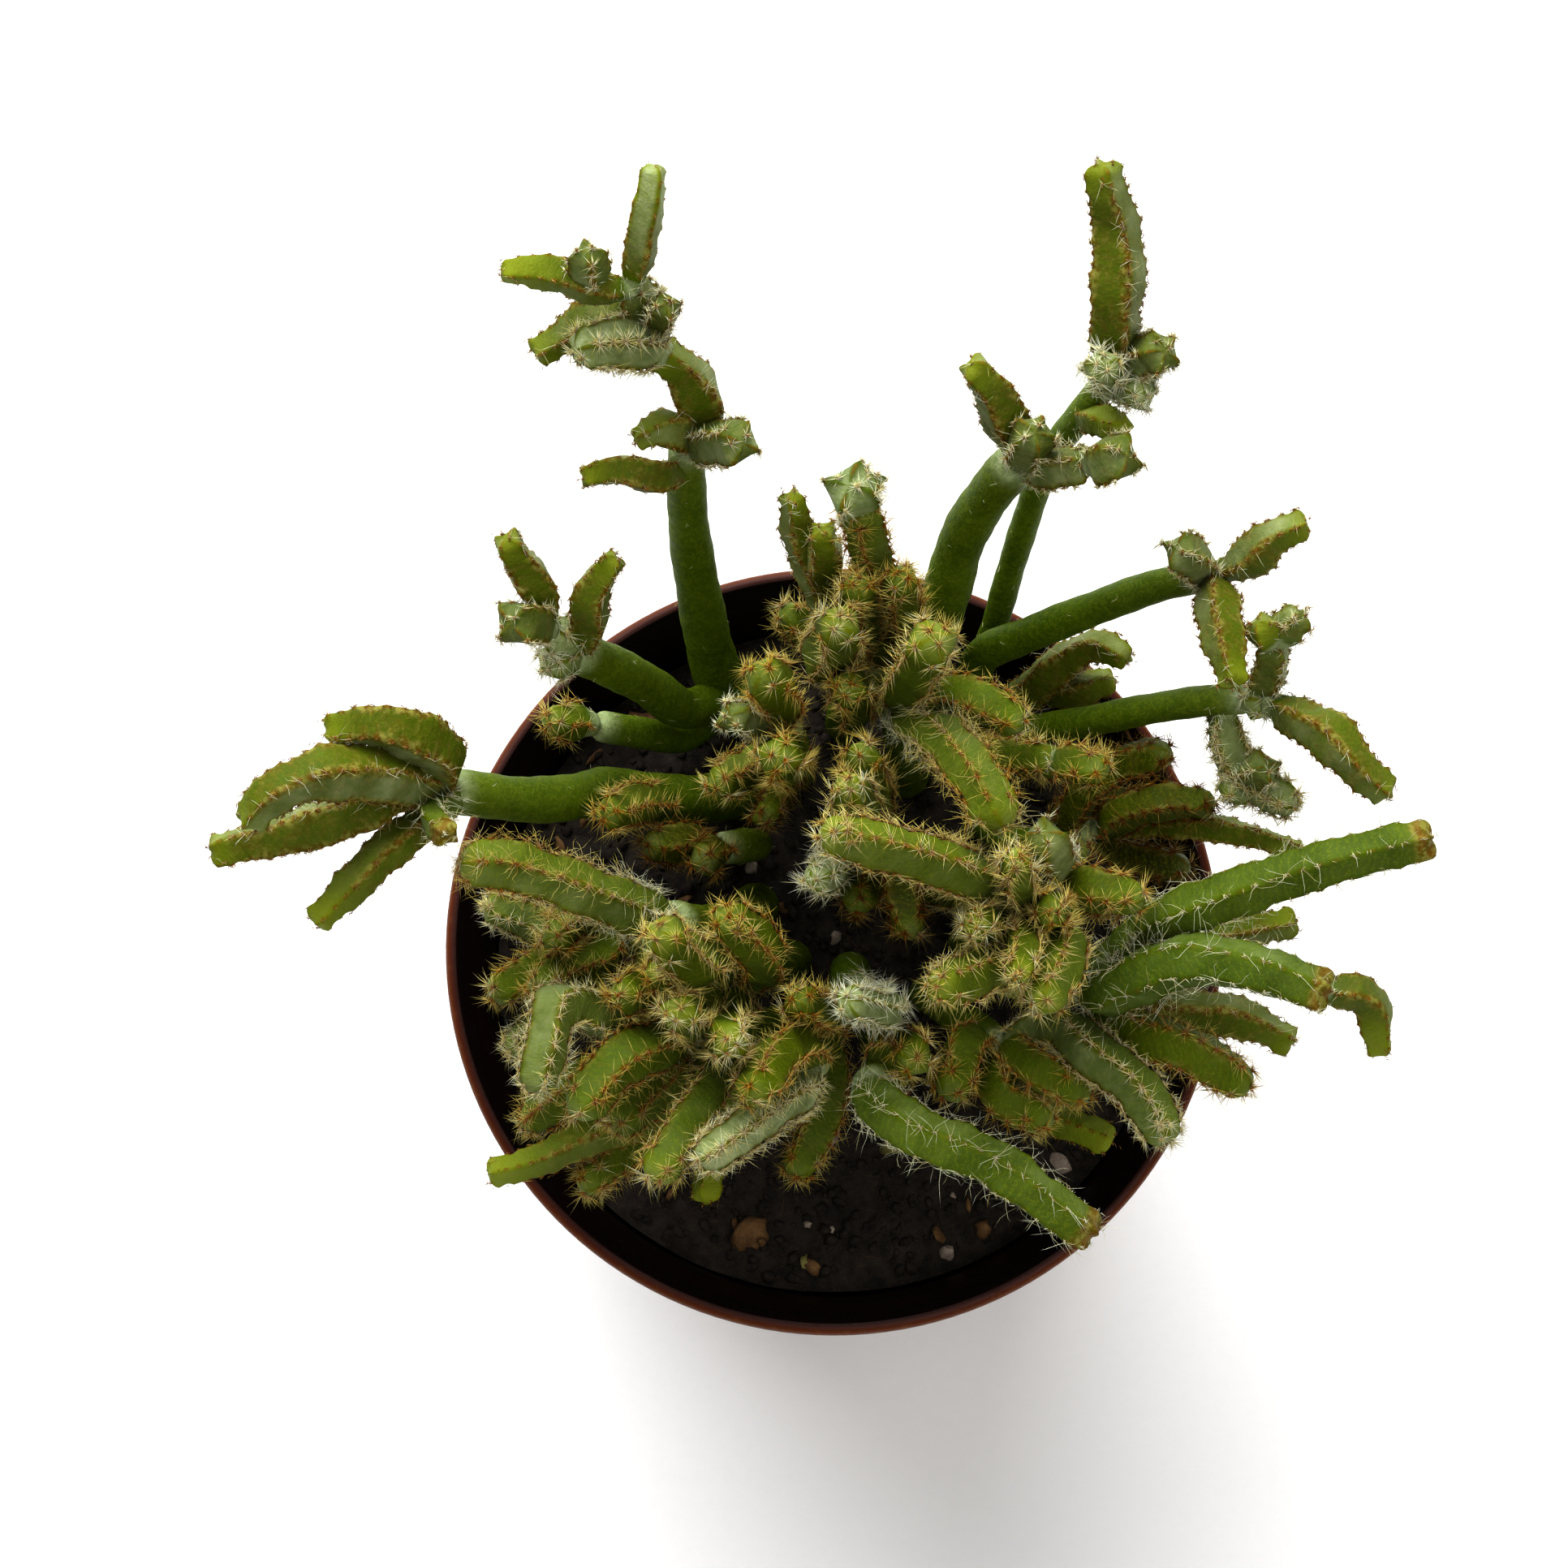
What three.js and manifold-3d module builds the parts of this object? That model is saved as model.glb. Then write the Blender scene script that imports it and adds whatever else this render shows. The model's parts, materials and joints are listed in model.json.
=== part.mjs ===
// A mistletoe cactus in a small round nursery pot.
// Millimetres, +Z up. The origin is the middle of the pot's flat base.
import * as THREE from "three";
import { mergeVertices } from "three/addons/utils/BufferGeometryUtils.js";
import Module from "manifold-3d";

const wasm = await Module();
wasm.setup();

// The pot: a tapered plastic nursery pot with a rolled rim and drainage holes round its base.
const POT_HEIGHT = 75;
const RIM_RADIUS = 42.5;
const BASE_RADIUS = 30;
const WALL = 1.2;
const LIP_WIDTH = 2.4;
const LIP_HEIGHT = 3.4;
const LIP_EDGE = 0.5;
const FOOT_EDGE = 1.2;
const FLOOR = 1.6;
const DRAIN_COUNT = 6;
const DRAIN_RADIUS = 2.6;
const DRAIN_CIRCLE = 21;
const POT_SIDES = 28;

// The soil: peat that fills the pot to a little under the rim.
const SOIL_TOP = 66;
const SOIL_GAP = 0.35;
const SOIL_BUMP = 0.7;
const SOIL_RINGS = [36.5, 26, 14];
const SOIL_SHOULDER = 1.5;

// Bark and perlite pieces half sunk in the soil: x, y, radius.
const CHIP_FLATNESS = 0.7;
const CHIP_LIFT = 0.2;
const CHIPS = [
  [-0.5, -21, 1.5],
  [6.5, -21.5, 1.3],
  [-9, -31, 1.8],
  [16.5, -30.5, 1.5],
  [12.5, -33, 1.2],
  [-21, 26.5, 1.8],
  [-3, -34, 1.1],
  [25, -23, 1.2],
];

// How the stems stand and grow. Each is straight to STRAIGHT_TO above the soil, and bends freely from
// FREE_FROM on.
const ROOT_Z = 52;
const STRAIGHT_TO = 1;
const FREE_FROM = 2;
const FIRST_RING = 2.5;
const SOCKET_GAP = 0.35;
const SAMPLE_STEP = 1.6;
const SHORT_SHOOT = 6.5;
const CLEARANCE = 0.9;
const BEND_ROUNDS = 120;
const SHARE_PASSES = 4;
const FORK_REACH = 3;
const FORK_CLEARANCE = 0.3;
const GOLDEN_ANGLE = Math.PI * (3 - Math.sqrt(5));
const TIP_DISH = 0.25;
const TIP_POINT = 0.35;

// The kinds of shoot. A stem is smooth and round, a twig is a thin square segment, a joint is a stout one
// with four ribs, and a hairy joint has five. "valley" is how deep the faces sink between the ribs,
// "neck" how narrow the shoot starts.
const KINDS = {
  stem: { corners: 6, ribbed: false, valley: 1, neck: 1, ringStep: 12, bristleStep: 0, bristle: 0 },
  twig: { corners: 4, ribbed: false, valley: 1, neck: 0.75, ringStep: 9, bristleStep: 10, bristle: 2.1 },
  joint: { corners: 4, ribbed: true, valley: 0.7, neck: 0.7, ringStep: 9, bristleStep: 9, bristle: 2.4 },
  hairy: { corners: 5, ribbed: true, valley: 0.8, neck: 0.75, ringStep: 9.5, bristleStep: 7, bristle: 3 },
};

// The bristles: how far up a shoot they start and spread, how they lean, and what shorter lengths are tried.
const BRISTLE_RADIUS = 0.24;
const BRISTLE_ROOT = 0.55;
const BRISTLE_MARGIN = 0.4;
const BRISTLES_FROM = 0.3;
const BRISTLES_OVER = 0.68;
const BRISTLE_DRIFT = 0.3;
const BRISTLE_LEAN = 0.5;
const TIP_LEAN = 1.2;
const BRISTLE_STRAY = 0.6;
const BRISTLE_CUTS = [1, 0.7, 0.5];
const PROBED_SHARES = [0.4, 0.7, 1];

// The rooted stems. Each has the place of its root on the soil and its shoots, in the order they grow:
// name, parent shoot, how far up the parent it starts, kind, first and last radius, and the points
// that its centre line runs through.
const STEMS = {
  back_left: { root: [-11, 28], shoots: [
    ["trunk", null, 0, "stem", 3, 1.9,
      [-13, 31, 75], [-14.5, 36, 87], [-15.5, 41.5, 99], [-15.5, 46.5, 111]],
    ["elbow", "trunk", 1, "joint", 2, 2.1, [-14, 49, 115], [-15, 51, 119], [-18, 53, 123]],
    ["broad", "elbow", 1, "hairy", 2.3, 2.3, [-21, 52.5, 128], [-26, 50.5, 131]],
    ["crown", "elbow", 1, "joint", 2, 1.8, [-18.5, 55, 127], [-20, 56, 132]],
    ["top", "crown", 1, "twig", 1.5, 1.6, [-19.5, 59, 135], [-18.5, 63, 139], [-18, 66, 141]],
    ["long_left", "crown", 1, "twig", 1.7, 1.6, [-24, 56, 134], [-28, 57, 135], [-33, 57, 136]],
    ["spur", "long_left", 0.35, "twig", 1.6, 1.6, [-24.5, 58, 139]],
    ["lower_left", "crown", 0.5, "twig", 1.6, 1.7, [-24, 56, 124], [-27, 55, 122], [-30.5, 53, 121]],
    ["nub", "crown", 0.4, "twig", 1.3, 1.3, [-17.5, 54.5, 134]],
    ["low_arm", "trunk", 0.93, "twig", 1.4, 1.6, [-18.5, 43, 111], [-22, 43.5, 112], [-26, 42.5, 113]],
    ["mid_arm", "trunk", 1, "twig", 1.8, 1.5, [-17.5, 46.5, 117], [-20.5, 45, 118]],
    ["right_arm", "trunk", 1, "joint", 1.8, 2.1, [-12, 45, 117], [-9.5, 43.5, 122]],
    ["upper_trunk", "trunk", 0.02, "stem", 2.3, 2.3,
      [-16, 25.5, 77], [-20, 26.5, 86], [-24, 27, 94], [-27.5, 27, 101]],
    ["upper_neck", "upper_trunk", 1, "joint", 2.1, 2.2, [-28.5, 28, 106]],
    ["upper_left", "upper_neck", 1, "joint", 1.9, 2.2, [-31, 28, 110], [-33, 27, 114]],
    ["upper_top", "upper_neck", 1, "twig", 1.5, 1.8,
      [-31, 31.5, 111], [-32.5, 33.5, 114], [-33.5, 35, 117]],
    ["upper_right", "upper_trunk", 0.97, "twig", 1.5, 1.8,
      [-26.5, 29.5, 108], [-24.5, 32, 111], [-22.5, 34, 113]],
    ["upper_pale", "upper_trunk", 0.95, "hairy", 1.8, 1.8, [-30, 25.5, 104]],
    ["low_trunk", "trunk", 0.01, "stem", 1.6, 1.8, [-16.5, 24, 73], [-21, 23, 78], [-26, 23, 82]],
    ["low_tip", "low_trunk", 1, "twig", 1.8, 1.8, [-28.5, 23, 84], [-31, 22.5, 87]],
  ] },
  back_right: { root: [8, 29], shoots: [
    ["trunk", null, 0, "stem", 2.9, 2.3,
      [10, 31, 79], [12, 35.5, 91], [13.5, 39.5, 100], [16, 42, 109], [18.5, 43.5, 116]],
    ["left_arm", "trunk", 1, "twig", 1.7, 1.9, [17, 46, 121], [15.5, 48, 125], [13, 50, 128]],
    ["knob", "trunk", 1, "hairy", 1.9, 2, [19.5, 43.5, 126]],
    ["right_arm", "trunk", 1, "twig", 1.8, 1.8, [22, 41.5, 120], [25, 41, 123]],
    ["right_tip", "right_arm", 1, "joint", 1.9, 2.3, [28.5, 40.5, 128]],
  ] },
  back_thin: { root: [15.5, 30.5], shoots: [
    ["trunk", null, 0, "stem", 1.5, 1.5,
      [17.5, 34, 78], [19, 38.5, 89], [20.5, 42.5, 99], [22, 46, 107], [25, 48.5, 115], [28, 50.5, 121]],
    ["yellow_arm", "trunk", 0.86, "twig", 1.4, 1.5, [27, 47.5, 120], [29, 47.5, 124]],
    ["tall", "trunk", 1, "joint", 1.9, 2.2,
      [28, 52.5, 127], [27.5, 55.5, 131], [27.5, 59, 133],
      [27, 62.5, 135], [26, 64.5, 138], [25.5, 66.5, 140]],
    ["white_left", "trunk", 1, "hairy", 1.8, 1.9, [26.5, 49, 131]],
    ["white_right", "trunk", 1, "hairy", 1.8, 1.9, [30, 50, 128], [31.5, 50, 131]],
    ["white_low", "trunk", 1, "hairy", 1.8, 1.8, [30, 47.5, 127]],
  ] },
  right_upper: { root: [16, 23.5], shoots: [
    ["trunk", null, 0, "stem", 2.2, 1.7,
      [16, 30.5, 81], [21, 31.5, 89], [27.5, 32.5, 97], [33.5, 33, 105], [38.5, 33, 110]],
    ["square_arm", "trunk", 0.97, "twig", 1.6, 1.8, [36.5, 33, 115], [34, 33.5, 119]],
    ["out_arm", "trunk", 1, "twig", 1.5, 1.7, [41.5, 33.5, 113], [44.5, 35.5, 116], [47.5, 36.5, 117]],
    ["down_arm", "trunk", 1, "twig", 1.6, 1.9, [38.5, 27.5, 116], [39, 22.5, 119], [39.5, 19, 120]],
    ["mid_trunk", "trunk", 0.04, "stem", 1.8, 1.6,
      [21, 23, 79], [26.5, 22, 88], [32.5, 21.5, 97], [38.5, 21, 104], [42.5, 20.5, 107]],
    ["hub", "mid_trunk", 1, "hairy", 1.9, 1.9, [44, 19.5, 110]],
    ["far_arm", "hub", 1, "twig", 1.7, 1.9,
      [47, 17, 113], [49.5, 15, 115], [52.5, 11.5, 115], [55.5, 9.5, 113]],
    ["fork_arm", "hub", 0.3, "twig", 1.7, 1.7, [44, 22.5, 112], [44, 24.5, 115]],
    ["fork_right", "fork_arm", 1, "twig", 1.5, 1.6, [46.5, 27, 118]],
    ["fork_left", "fork_arm", 1, "twig", 1.5, 1.6, [42, 26, 118]],
    ["low_arm", "mid_trunk", 0.93, "twig", 1.8, 1.9,
      [40.5, 18, 102], [42, 14, 101], [44.5, 12, 102], [47.5, 10, 103]],
    ["low_right", "low_arm", 0.55, "twig", 1.5, 1.6, [44, 13.5, 107]],
    ["low_left", "low_arm", 0.6, "hairy", 1.6, 1.6, [40.5, 11.5, 99]],
    ["short_trunk", "trunk", 0.02, "twig", 1.7, 1.8,
      [21, 27, 77], [25, 29.5, 84], [28.5, 30.5, 88], [31.5, 28.5, 90]],
    ["short_arm", "short_trunk", 0.4, "twig", 1.5, 1.7, [26.5, 27, 81], [30.5, 28, 83]],
  ] },
  left: { root: [-10.5, 18], shoots: [
    ["trunk", null, 0, "stem", 2.9, 2.3,
      [-15.5, 15.5, 78], [-24, 14, 89], [-32, 11.5, 99], [-40, 11, 107]],
    ["bud", "trunk", 0.3, "twig", 1.7, 1.8, [-24, 10, 99]],
    ["arch", "trunk", 1, "joint", 2, 2.2, [-41, 13.5, 114], [-45, 15, 119], [-51, 14.5, 119]],
    ["middle", "trunk", 1, "joint", 2, 2.2,
      [-45.5, 11, 116], [-51, 10, 121], [-56, 7.5, 122], [-58.5, 5, 120]],
    ["long_low", "trunk", 1, "joint", 1.8, 2.1, [-49.5, 7.5, 111], [-56.5, 5, 113], [-63, 3.5, 113]],
    ["young", "trunk", 0.98, "twig", 1.6, 1.9, [-43.5, 7.5, 108], [-48, 2, 109], [-53, -3, 108]],
    ["link", "trunk", 0.98, "twig", 1.5, 1.5, [-40.5, 6.5, 113], [-38.5, 4, 116]],
  ] },
  low_left: { root: [-10.5, 12], shoots: [
    ["trunk", null, 0, "stem", 1.8, 1.8, [-8.5, 10.5, 78], [-12.5, 9, 84]],
    ["arm", "trunk", 1, "twig", 1.8, 1.9, [-16.5, 9, 88], [-20.5, 9, 91]],
    ["tip", "trunk", 1, "twig", 1.8, 1.9, [-14, 6, 93]],
  ] },
  left_long: { root: [-8.5, 5.5], shoots: [
    ["trunk", null, 0, "stem", 2.5, 2.6, [-10, 2, 80], [-13.5, -0.5, 89], [-17.5, -1.5, 97]],
    ["long", "trunk", 1, "hairy", 2.8, 2.6,
      [-22.5, -0.5, 104], [-28, 1, 109], [-33.5, 2.5, 111], [-38.5, 3, 112]],
    ["low_trunk", "trunk", 0.1, "stem", 2, 2, [-17.5, 0.5, 77], [-25, -1.5, 82]],
    ["low_a", "low_trunk", 1, "joint", 2, 2, [-32, -4.5, 86], [-36.5, -7.5, 88]],
    ["low_b", "low_trunk", 1, "hairy", 1.9, 1.9, [-32, 1, 84], [-37.5, 3, 84]],
    ["low_c", "low_trunk", 0.9, "twig", 1.8, 1.8, [-28, -1.5, 90], [-29.5, -2.5, 96]],
    ["low_d", "low_trunk", 0.9, "hairy", 1.9, 1.9, [-30, -9, 84], [-34.5, -13.5, 85]],
    ["low_e", "low_trunk", 0.8, "twig", 1.9, 1.9, [-27, -5.5, 89], [-31.5, -8, 94]],
    ["low_f", "low_trunk", 0.6, "twig", 1.9, 1.9, [-24.5, -5, 85], [-26.5, -7.5, 90]],
  ] },
  left_front: { root: [-4.5, -0.5], shoots: [
    ["trunk", null, 0, "stem", 2.2, 2.2, [-7.5, -3.5, 79], [-12.5, -7, 91]],
    ["bright", "trunk", 1, "joint", 2.2, 2.4, [-14, -7.5, 105], [-16, -6.5, 113], [-18, -5.5, 119]],
    ["brown", "trunk", 0.8, "joint", 2.1, 2.2, [-9, -5.5, 101], [-11.5, -2, 109]],
    ["knob_a", "trunk", 1, "joint", 2, 2, [-15, -11.5, 105], [-16, -13, 114]],
    ["knob_b", "trunk", 0.9, "joint", 2, 2.1, [-11, -13.5, 103], [-10.5, -16, 113]],
    ["star", "trunk", 1, "twig", 1.8, 1.8, [-19, -8.5, 99], [-23, -10, 104]],
    ["star_up", "trunk", 1, "twig", 1.6, 1.7, [-19, -8, 105]],
  ] },
  front_left: { root: [-2.5, -7.5], shoots: [
    ["trunk", null, 0, "stem", 2.3, 2.3, [-7.5, -10, 80], [-15.5, -12.5, 92]],
    ["upright", "trunk", 1, "joint", 2, 2.2,
      [-24, -10.5, 99], [-28.5, -11, 104], [-29.5, -15.5, 106], [-30.5, -20, 105]],
    ["wide", "trunk", 1, "joint", 2.2, 2.3, [-22, -16, 101], [-27, -22, 103]],
    ["short", "trunk", 0.95, "joint", 2, 2.1, [-19.5, -18, 92], [-23, -22.5, 95]],
    ["steep", "trunk", 0.8, "joint", 2.1, 2.3, [-13, -19, 97], [-16, -24, 101], [-19, -28.5, 102]],
    ["smooth_arm", "trunk", 0.9, "twig", 1.8, 1.8,
      [-20, -19.5, 83], [-26.5, -22.5, 86], [-31.5, -25, 87], [-36.5, -26.5, 88]],
    ["low_arm", "trunk", 0.7, "twig", 1.8, 1.9, [-20, -21.5, 79], [-27, -27.5, 83]],
    ["low_tip", "trunk", 0.5, "twig", 1.8, 1.8, [-12.5, -21, 76], [-14, -28.5, 78]],
    ["tail", "trunk", 1, "twig", 1.8, 1.8, [-26.5, -16.5, 89], [-33, -21, 84]],
  ] },
  front_mid: { root: [2, -2], shoots: [
    ["trunk", null, 0, "stem", 2.3, 2.2, [1, -10.5, 82], [-1.5, -15.5, 93]],
    ["long_arm", "trunk", 1, "twig", 1.8, 1.9, [-6, -20.5, 101], [-10.5, -24.5, 105], [-14, -27, 106]],
    ["top_arm", "trunk", 0.9, "joint", 2, 2.1, [-6.5, -16, 105], [-9, -21, 111]],
    ["low_arm", "trunk", 0.4, "joint", 1.9, 2.2, [-1.5, -20, 79], [-4.5, -26, 80]],
    ["tuft", "trunk", 0.2, "hairy", 1.8, 1.7, [5.5, -11, 99], [1, -11.5, 112]],
    ["brown", "trunk", 0.5, "twig", 1.8, 1.9, [-2.5, -11, 97], [-4, -10, 105]],
  ] },
  front_long: { root: [5, -8.5], shoots: [
    ["trunk", null, 0, "stem", 2.3, 2.4, [4, -13.5, 83], [2, -17.5, 94]],
    ["long", "trunk", 1, "hairy", 2.4, 2.5,
      [8, -23.5, 102], [16, -27.5, 106], [22, -32, 107], [25.5, -34.5, 106]],
    ["brown", "trunk", 0.7, "joint", 1.9, 2, [7, -13.5, 95], [8, -16.5, 102]],
  ] },
  front_right: { root: [10.5, -4.5], shoots: [
    ["trunk", null, 0, "stem", 2, 2, [14.5, -9, 77], [17.5, -13, 87]],
    ["pale", "trunk", 0.9, "joint", 2.1, 2.1, [17.5, -17.5, 91], [23, -20.5, 93]],
    ["smooth_arm", "trunk", 0.6, "twig", 1.8, 1.9, [22, -18, 77], [30, -22, 78]],
    ["ridge", "trunk", 1, "joint", 2, 2.1, [22, -16, 94], [26, -19.5, 96]],
    ["down", "trunk", 1, "joint", 2.1, 2.3, [25, -14, 96], [30.5, -18.5, 101], [34, -24.5, 101]],
    ["brown", "trunk", 0.8, "joint", 2, 2.1, [14, -15, 91], [11.5, -19, 94]],
  ] },
  right_front: { root: [15.5, 1.5], shoots: [
    ["trunk", null, 0, "stem", 2.4, 2.4, [20.5, -2.5, 80], [27, -6.5, 90]],
    ["bow", "trunk", 1, "joint", 2.3, 2.3, [31, -13, 97], [36.5, -15, 100], [42.5, -19, 100]],
    ["low_bow", "trunk", 0.9, "joint", 2, 2, [34.5, -9.5, 90], [42.5, -10.5, 92], [48, -13, 91]],
    ["big", "trunk", 1, "hairy", 2.5, 2.6,
      [30.5, -7, 103], [36, -7, 110], [42, -8.5, 113], [49, -11, 113]],
    ["big_tip", "big", 0.97, "twig", 1.6, 1.8, [53, -11, 111], [55, -16, 106]],
    ["long", "trunk", 1, "hairy", 2.4, 2.4,
      [32, -4, 101], [35, -2, 107], [42, 0, 113], [50, 2, 117], [59, 4, 118]],
    ["stub", "trunk", 0.95, "twig", 1.7, 1.8, [38.5, -2.5, 93], [48, -1, 97]],
  ] },
  right_low: { root: [16.5, 15], shoots: [
    ["trunk", null, 0, "stem", 1.9, 1.8, [21, 10.5, 78], [28, 11, 85]],
    ["thin", "trunk", 1, "twig", 1.3, 1.3, [34, 11, 89], [41.5, 9.5, 92], [49, 7, 94]],
    ["arm", "trunk", 1, "twig", 1.7, 1.8, [33.5, 13.5, 93], [40, 11.5, 96]],
    ["upper", "trunk", 0.8, "twig", 1.8, 1.9, [30.5, 15.5, 91], [35.5, 16, 95]],
    ["lower", "trunk", 0.9, "twig", 1.8, 1.9, [32.5, 8, 85], [38, 6, 87]],
    ["middle", "trunk", 0.6, "twig", 1.8, 1.9, [28.5, 14.5, 81], [34, 13.5, 82]],
  ] },
  tuft_back: { root: [1.5, 26.5], shoots: [
    ["trunk", null, 0, "stem", 2.3, 2.2, [3, 26.5, 83], [3, 26.5, 97]],
    ["high_left", "trunk", 1, "twig", 1.5, 1.7, [-1, 32, 103], [-3, 36, 111], [-4.5, 40, 115]],
    ["high_spur", "high_left", 0.55, "twig", 1.5, 1.6, [-2, 36.5, 116]],
    ["high_neck", "trunk", 1, "twig", 1.8, 1.9, [4, 32, 108], [3, 35, 117], [2, 37, 123]],
    ["high_crown", "high_neck", 1, "joint", 2, 2.5, [1, 37.5, 128]],
    ["high_bud", "high_neck", 1, "twig", 1.2, 1.3, [3.5, 38.5, 127]],
    ["disc", "trunk", 1, "joint", 2.1, 2.4, [1, 26.5, 109], [0, 25.5, 120]],
    ["upper_a", "trunk", 1, "twig", 1.7, 1.8, [3, 28.5, 109], [2.5, 30, 118]],
    ["upper_b", "trunk", 1, "twig", 1.7, 1.8, [5, 28.5, 109], [6.5, 30.5, 120]],
    ["side", "trunk", 0.6, "twig", 1.7, 1.8, [-2.5, 31, 92], [-5.5, 32.5, 96]],
    ["front", "trunk", 0.8, "twig", 1.8, 1.9, [1, 20.5, 112]],
  ] },
  tuft_left: { root: [-4, 21], shoots: [
    ["trunk", null, 0, "stem", 2.1, 2.1, [-4.5, 20, 81], [-5.5, 19.5, 95]],
    ["tall", "trunk", 1, "joint", 2.1, 2.3, [-6.5, 19.5, 109], [-7.5, 20.5, 120]],
    ["tall_side", "tall", 0.4, "twig", 1.5, 1.6, [-10.5, 17, 116]],
    ["disc", "trunk", 0.9, "joint", 2, 2.2, [-5.5, 15, 107], [-6, 12, 118]],
    ["ball", "trunk", 0.5, "twig", 1.6, 1.8, [-9.5, 17, 87], [-12.5, 14, 95]],
    ["low", "trunk", 0.4, "twig", 1.5, 1.5, [-7.5, 10.5, 93]],
  ] },
  tuft_top: { root: [8.5, 20.5], shoots: [
    ["trunk", null, 0, "stem", 2.4, 2.4, [8, 18.5, 87], [7, 20, 103]],
    ["disc", "trunk", 1, "joint", 2.2, 2.6, [8, 21.5, 115], [9.5, 22.5, 127]],
    ["long", "trunk", 1, "hairy", 2.4, 2.5, [11, 14, 116], [14.5, 8, 122], [16.5, 3.5, 122]],
    ["side", "trunk", 1, "joint", 2, 2.1, [13.5, 19.5, 111], [19, 16.5, 113]],
    ["right_arm", "trunk", 0.5, "joint", 1.9, 2, [15.5, 17.5, 94], [23, 14.5, 104]],
    ["right_tip", "right_arm", 0.9, "joint", 1.8, 2, [27.5, 13, 108]],
  ] },
  tuft_right: { root: [12, 8], shoots: [
    ["trunk", null, 0, "stem", 2.3, 2.3, [16.5, 3.5, 85], [18.5, -0.5, 103]],
    ["grey", "trunk", 1, "joint", 2.1, 2.2, [20.5, 2, 113], [20.5, 4.5, 118]],
    ["up", "trunk", 1, "twig", 1.5, 1.6, [17.5, -0.5, 118], [17, 1, 127]],
    ["down", "trunk", 1, "twig", 1.5, 1.6, [18.5, -6, 118], [17.5, -11, 123]],
    ["tip_left", "trunk", 1, "twig", 1.5, 1.6, [15.5, -4, 115], [13, -5.5, 122]],
    ["tip_right", "trunk", 1, "hairy", 1.5, 1.6, [20.5, -4.5, 120]],
    ["over", "trunk", 0.9, "joint", 2.1, 2.2, [13.5, 0, 119], [6, 1, 127], [-2, 2.5, 130]],
    ["lower_a", "trunk", 0.85, "joint", 2, 2.2, [17.5, -5.5, 109], [13, -10, 119], [9, -12, 123]],
    ["lower_b", "right_arm", 0.22, "joint", 2.1, 2.3,
      [22.5, -5.5, 113], [21.5, -9.5, 118], [19.5, -13.5, 121]],
    ["right_arm", "trunk", 0.9, "joint", 2, 2.1, [24, 0.5, 108], [31, -1, 111]],
    ["bud", "trunk", 0.8, "twig", 1.5, 1.6, [25.5, 5.5, 105]],
  ] },
  tuft_mid: { root: [1.5, 13], shoots: [
    ["trunk", null, 0, "stem", 2.2, 2.1, [4, 10.5, 81], [4.5, 9.5, 93]],
    ["far_tip", "trunk", 1, "joint", 1.9, 2, [3, 12, 105], [2.5, 14, 113]],
    ["near_tip", "trunk", 1, "joint", 1.8, 2, [2.5, 8.5, 107], [1, 9.5, 118]],
    ["left_tip", "trunk", 0.9, "twig", 1.8, 1.9, [0.5, 4.5, 100], [-2.5, 1.5, 107]],
    ["down_a", "trunk", 0.9, "joint", 1.9, 2, [6, 3, 99], [8, -3.5, 102]],
    ["down_b", "trunk", 0.9, "twig", 1.8, 1.9, [2.5, 0.5, 100]],
  ] },
};

const COLOURS = {
  pot: [0x4a2410, 0.45],
  soil: [0x17110d, 0.95],
  stem: [0x5c7d2a, 0.55],
};

// A seeded random generator, so that every build is the same.
function makeRandom(seed) {
  let state = seed;
  return () => {
    state = (state + 0x6d2b79f5) | 0;
    let mixed = Math.imul(state ^ (state >>> 15), 1 | state);
    mixed = (mixed + Math.imul(mixed ^ (mixed >>> 7), 61 | mixed)) ^ mixed;
    return ((mixed ^ (mixed >>> 14)) >>> 0) / 4294967296;
  };
}

function toSolid(geometry) {
  const bare = geometry.clone();
  bare.deleteAttribute("normal");
  bare.deleteAttribute("uv");
  const merged = mergeVertices(bare, 1e-4);
  const triangles = [];
  const index = merged.index.array;
  for (let i = 0; i < index.length; i += 3) {
    const [a, b, c] = index.slice(i, i + 3);
    if (a !== b && b !== c && c !== a) triangles.push(a, b, c);
  }
  return new wasm.Manifold(new wasm.Mesh({
    numProp: 3,
    vertProperties: new Float32Array(merged.attributes.position.array),
    triVerts: new Uint32Array(triangles),
  }));
}

function toMesh(name, solid, [colour, roughness]) {
  const { vertProperties, triVerts } = solid.getMesh();
  const geometry = new THREE.BufferGeometry();
  geometry.setAttribute("position", new THREE.BufferAttribute(vertProperties, 3));
  geometry.setIndex(new THREE.BufferAttribute(triVerts, 1));
  geometry.computeVertexNormals();
  const material = new THREE.MeshStandardMaterial({ color: colour, roughness, metalness: 0 });
  const mesh = new THREE.Mesh(geometry, material);
  mesh.name = name;
  return mesh;
}

// The largest body of a fused solid: sealed hollows are filled and loose scraps are dropped.
function mainBody(solid) {
  return solid.decompose().reduce((best, part) => (part.volume() > best.volume() ? part : best));
}

// A closed body turned about the Z axis from [radius, height] points that run up its outside.
function turned(profile) {
  const points = profile.map(([radius, height]) => new THREE.Vector2(radius, height));
  return new THREE.LatheGeometry(points, POT_SIDES).rotateX(Math.PI / 2);
}

function innerRadius(height) {
  const top = RIM_RADIUS - LIP_WIDTH;
  return BASE_RADIUS + (top - BASE_RADIUS) * (height / POT_HEIGHT) - WALL;
}

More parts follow.
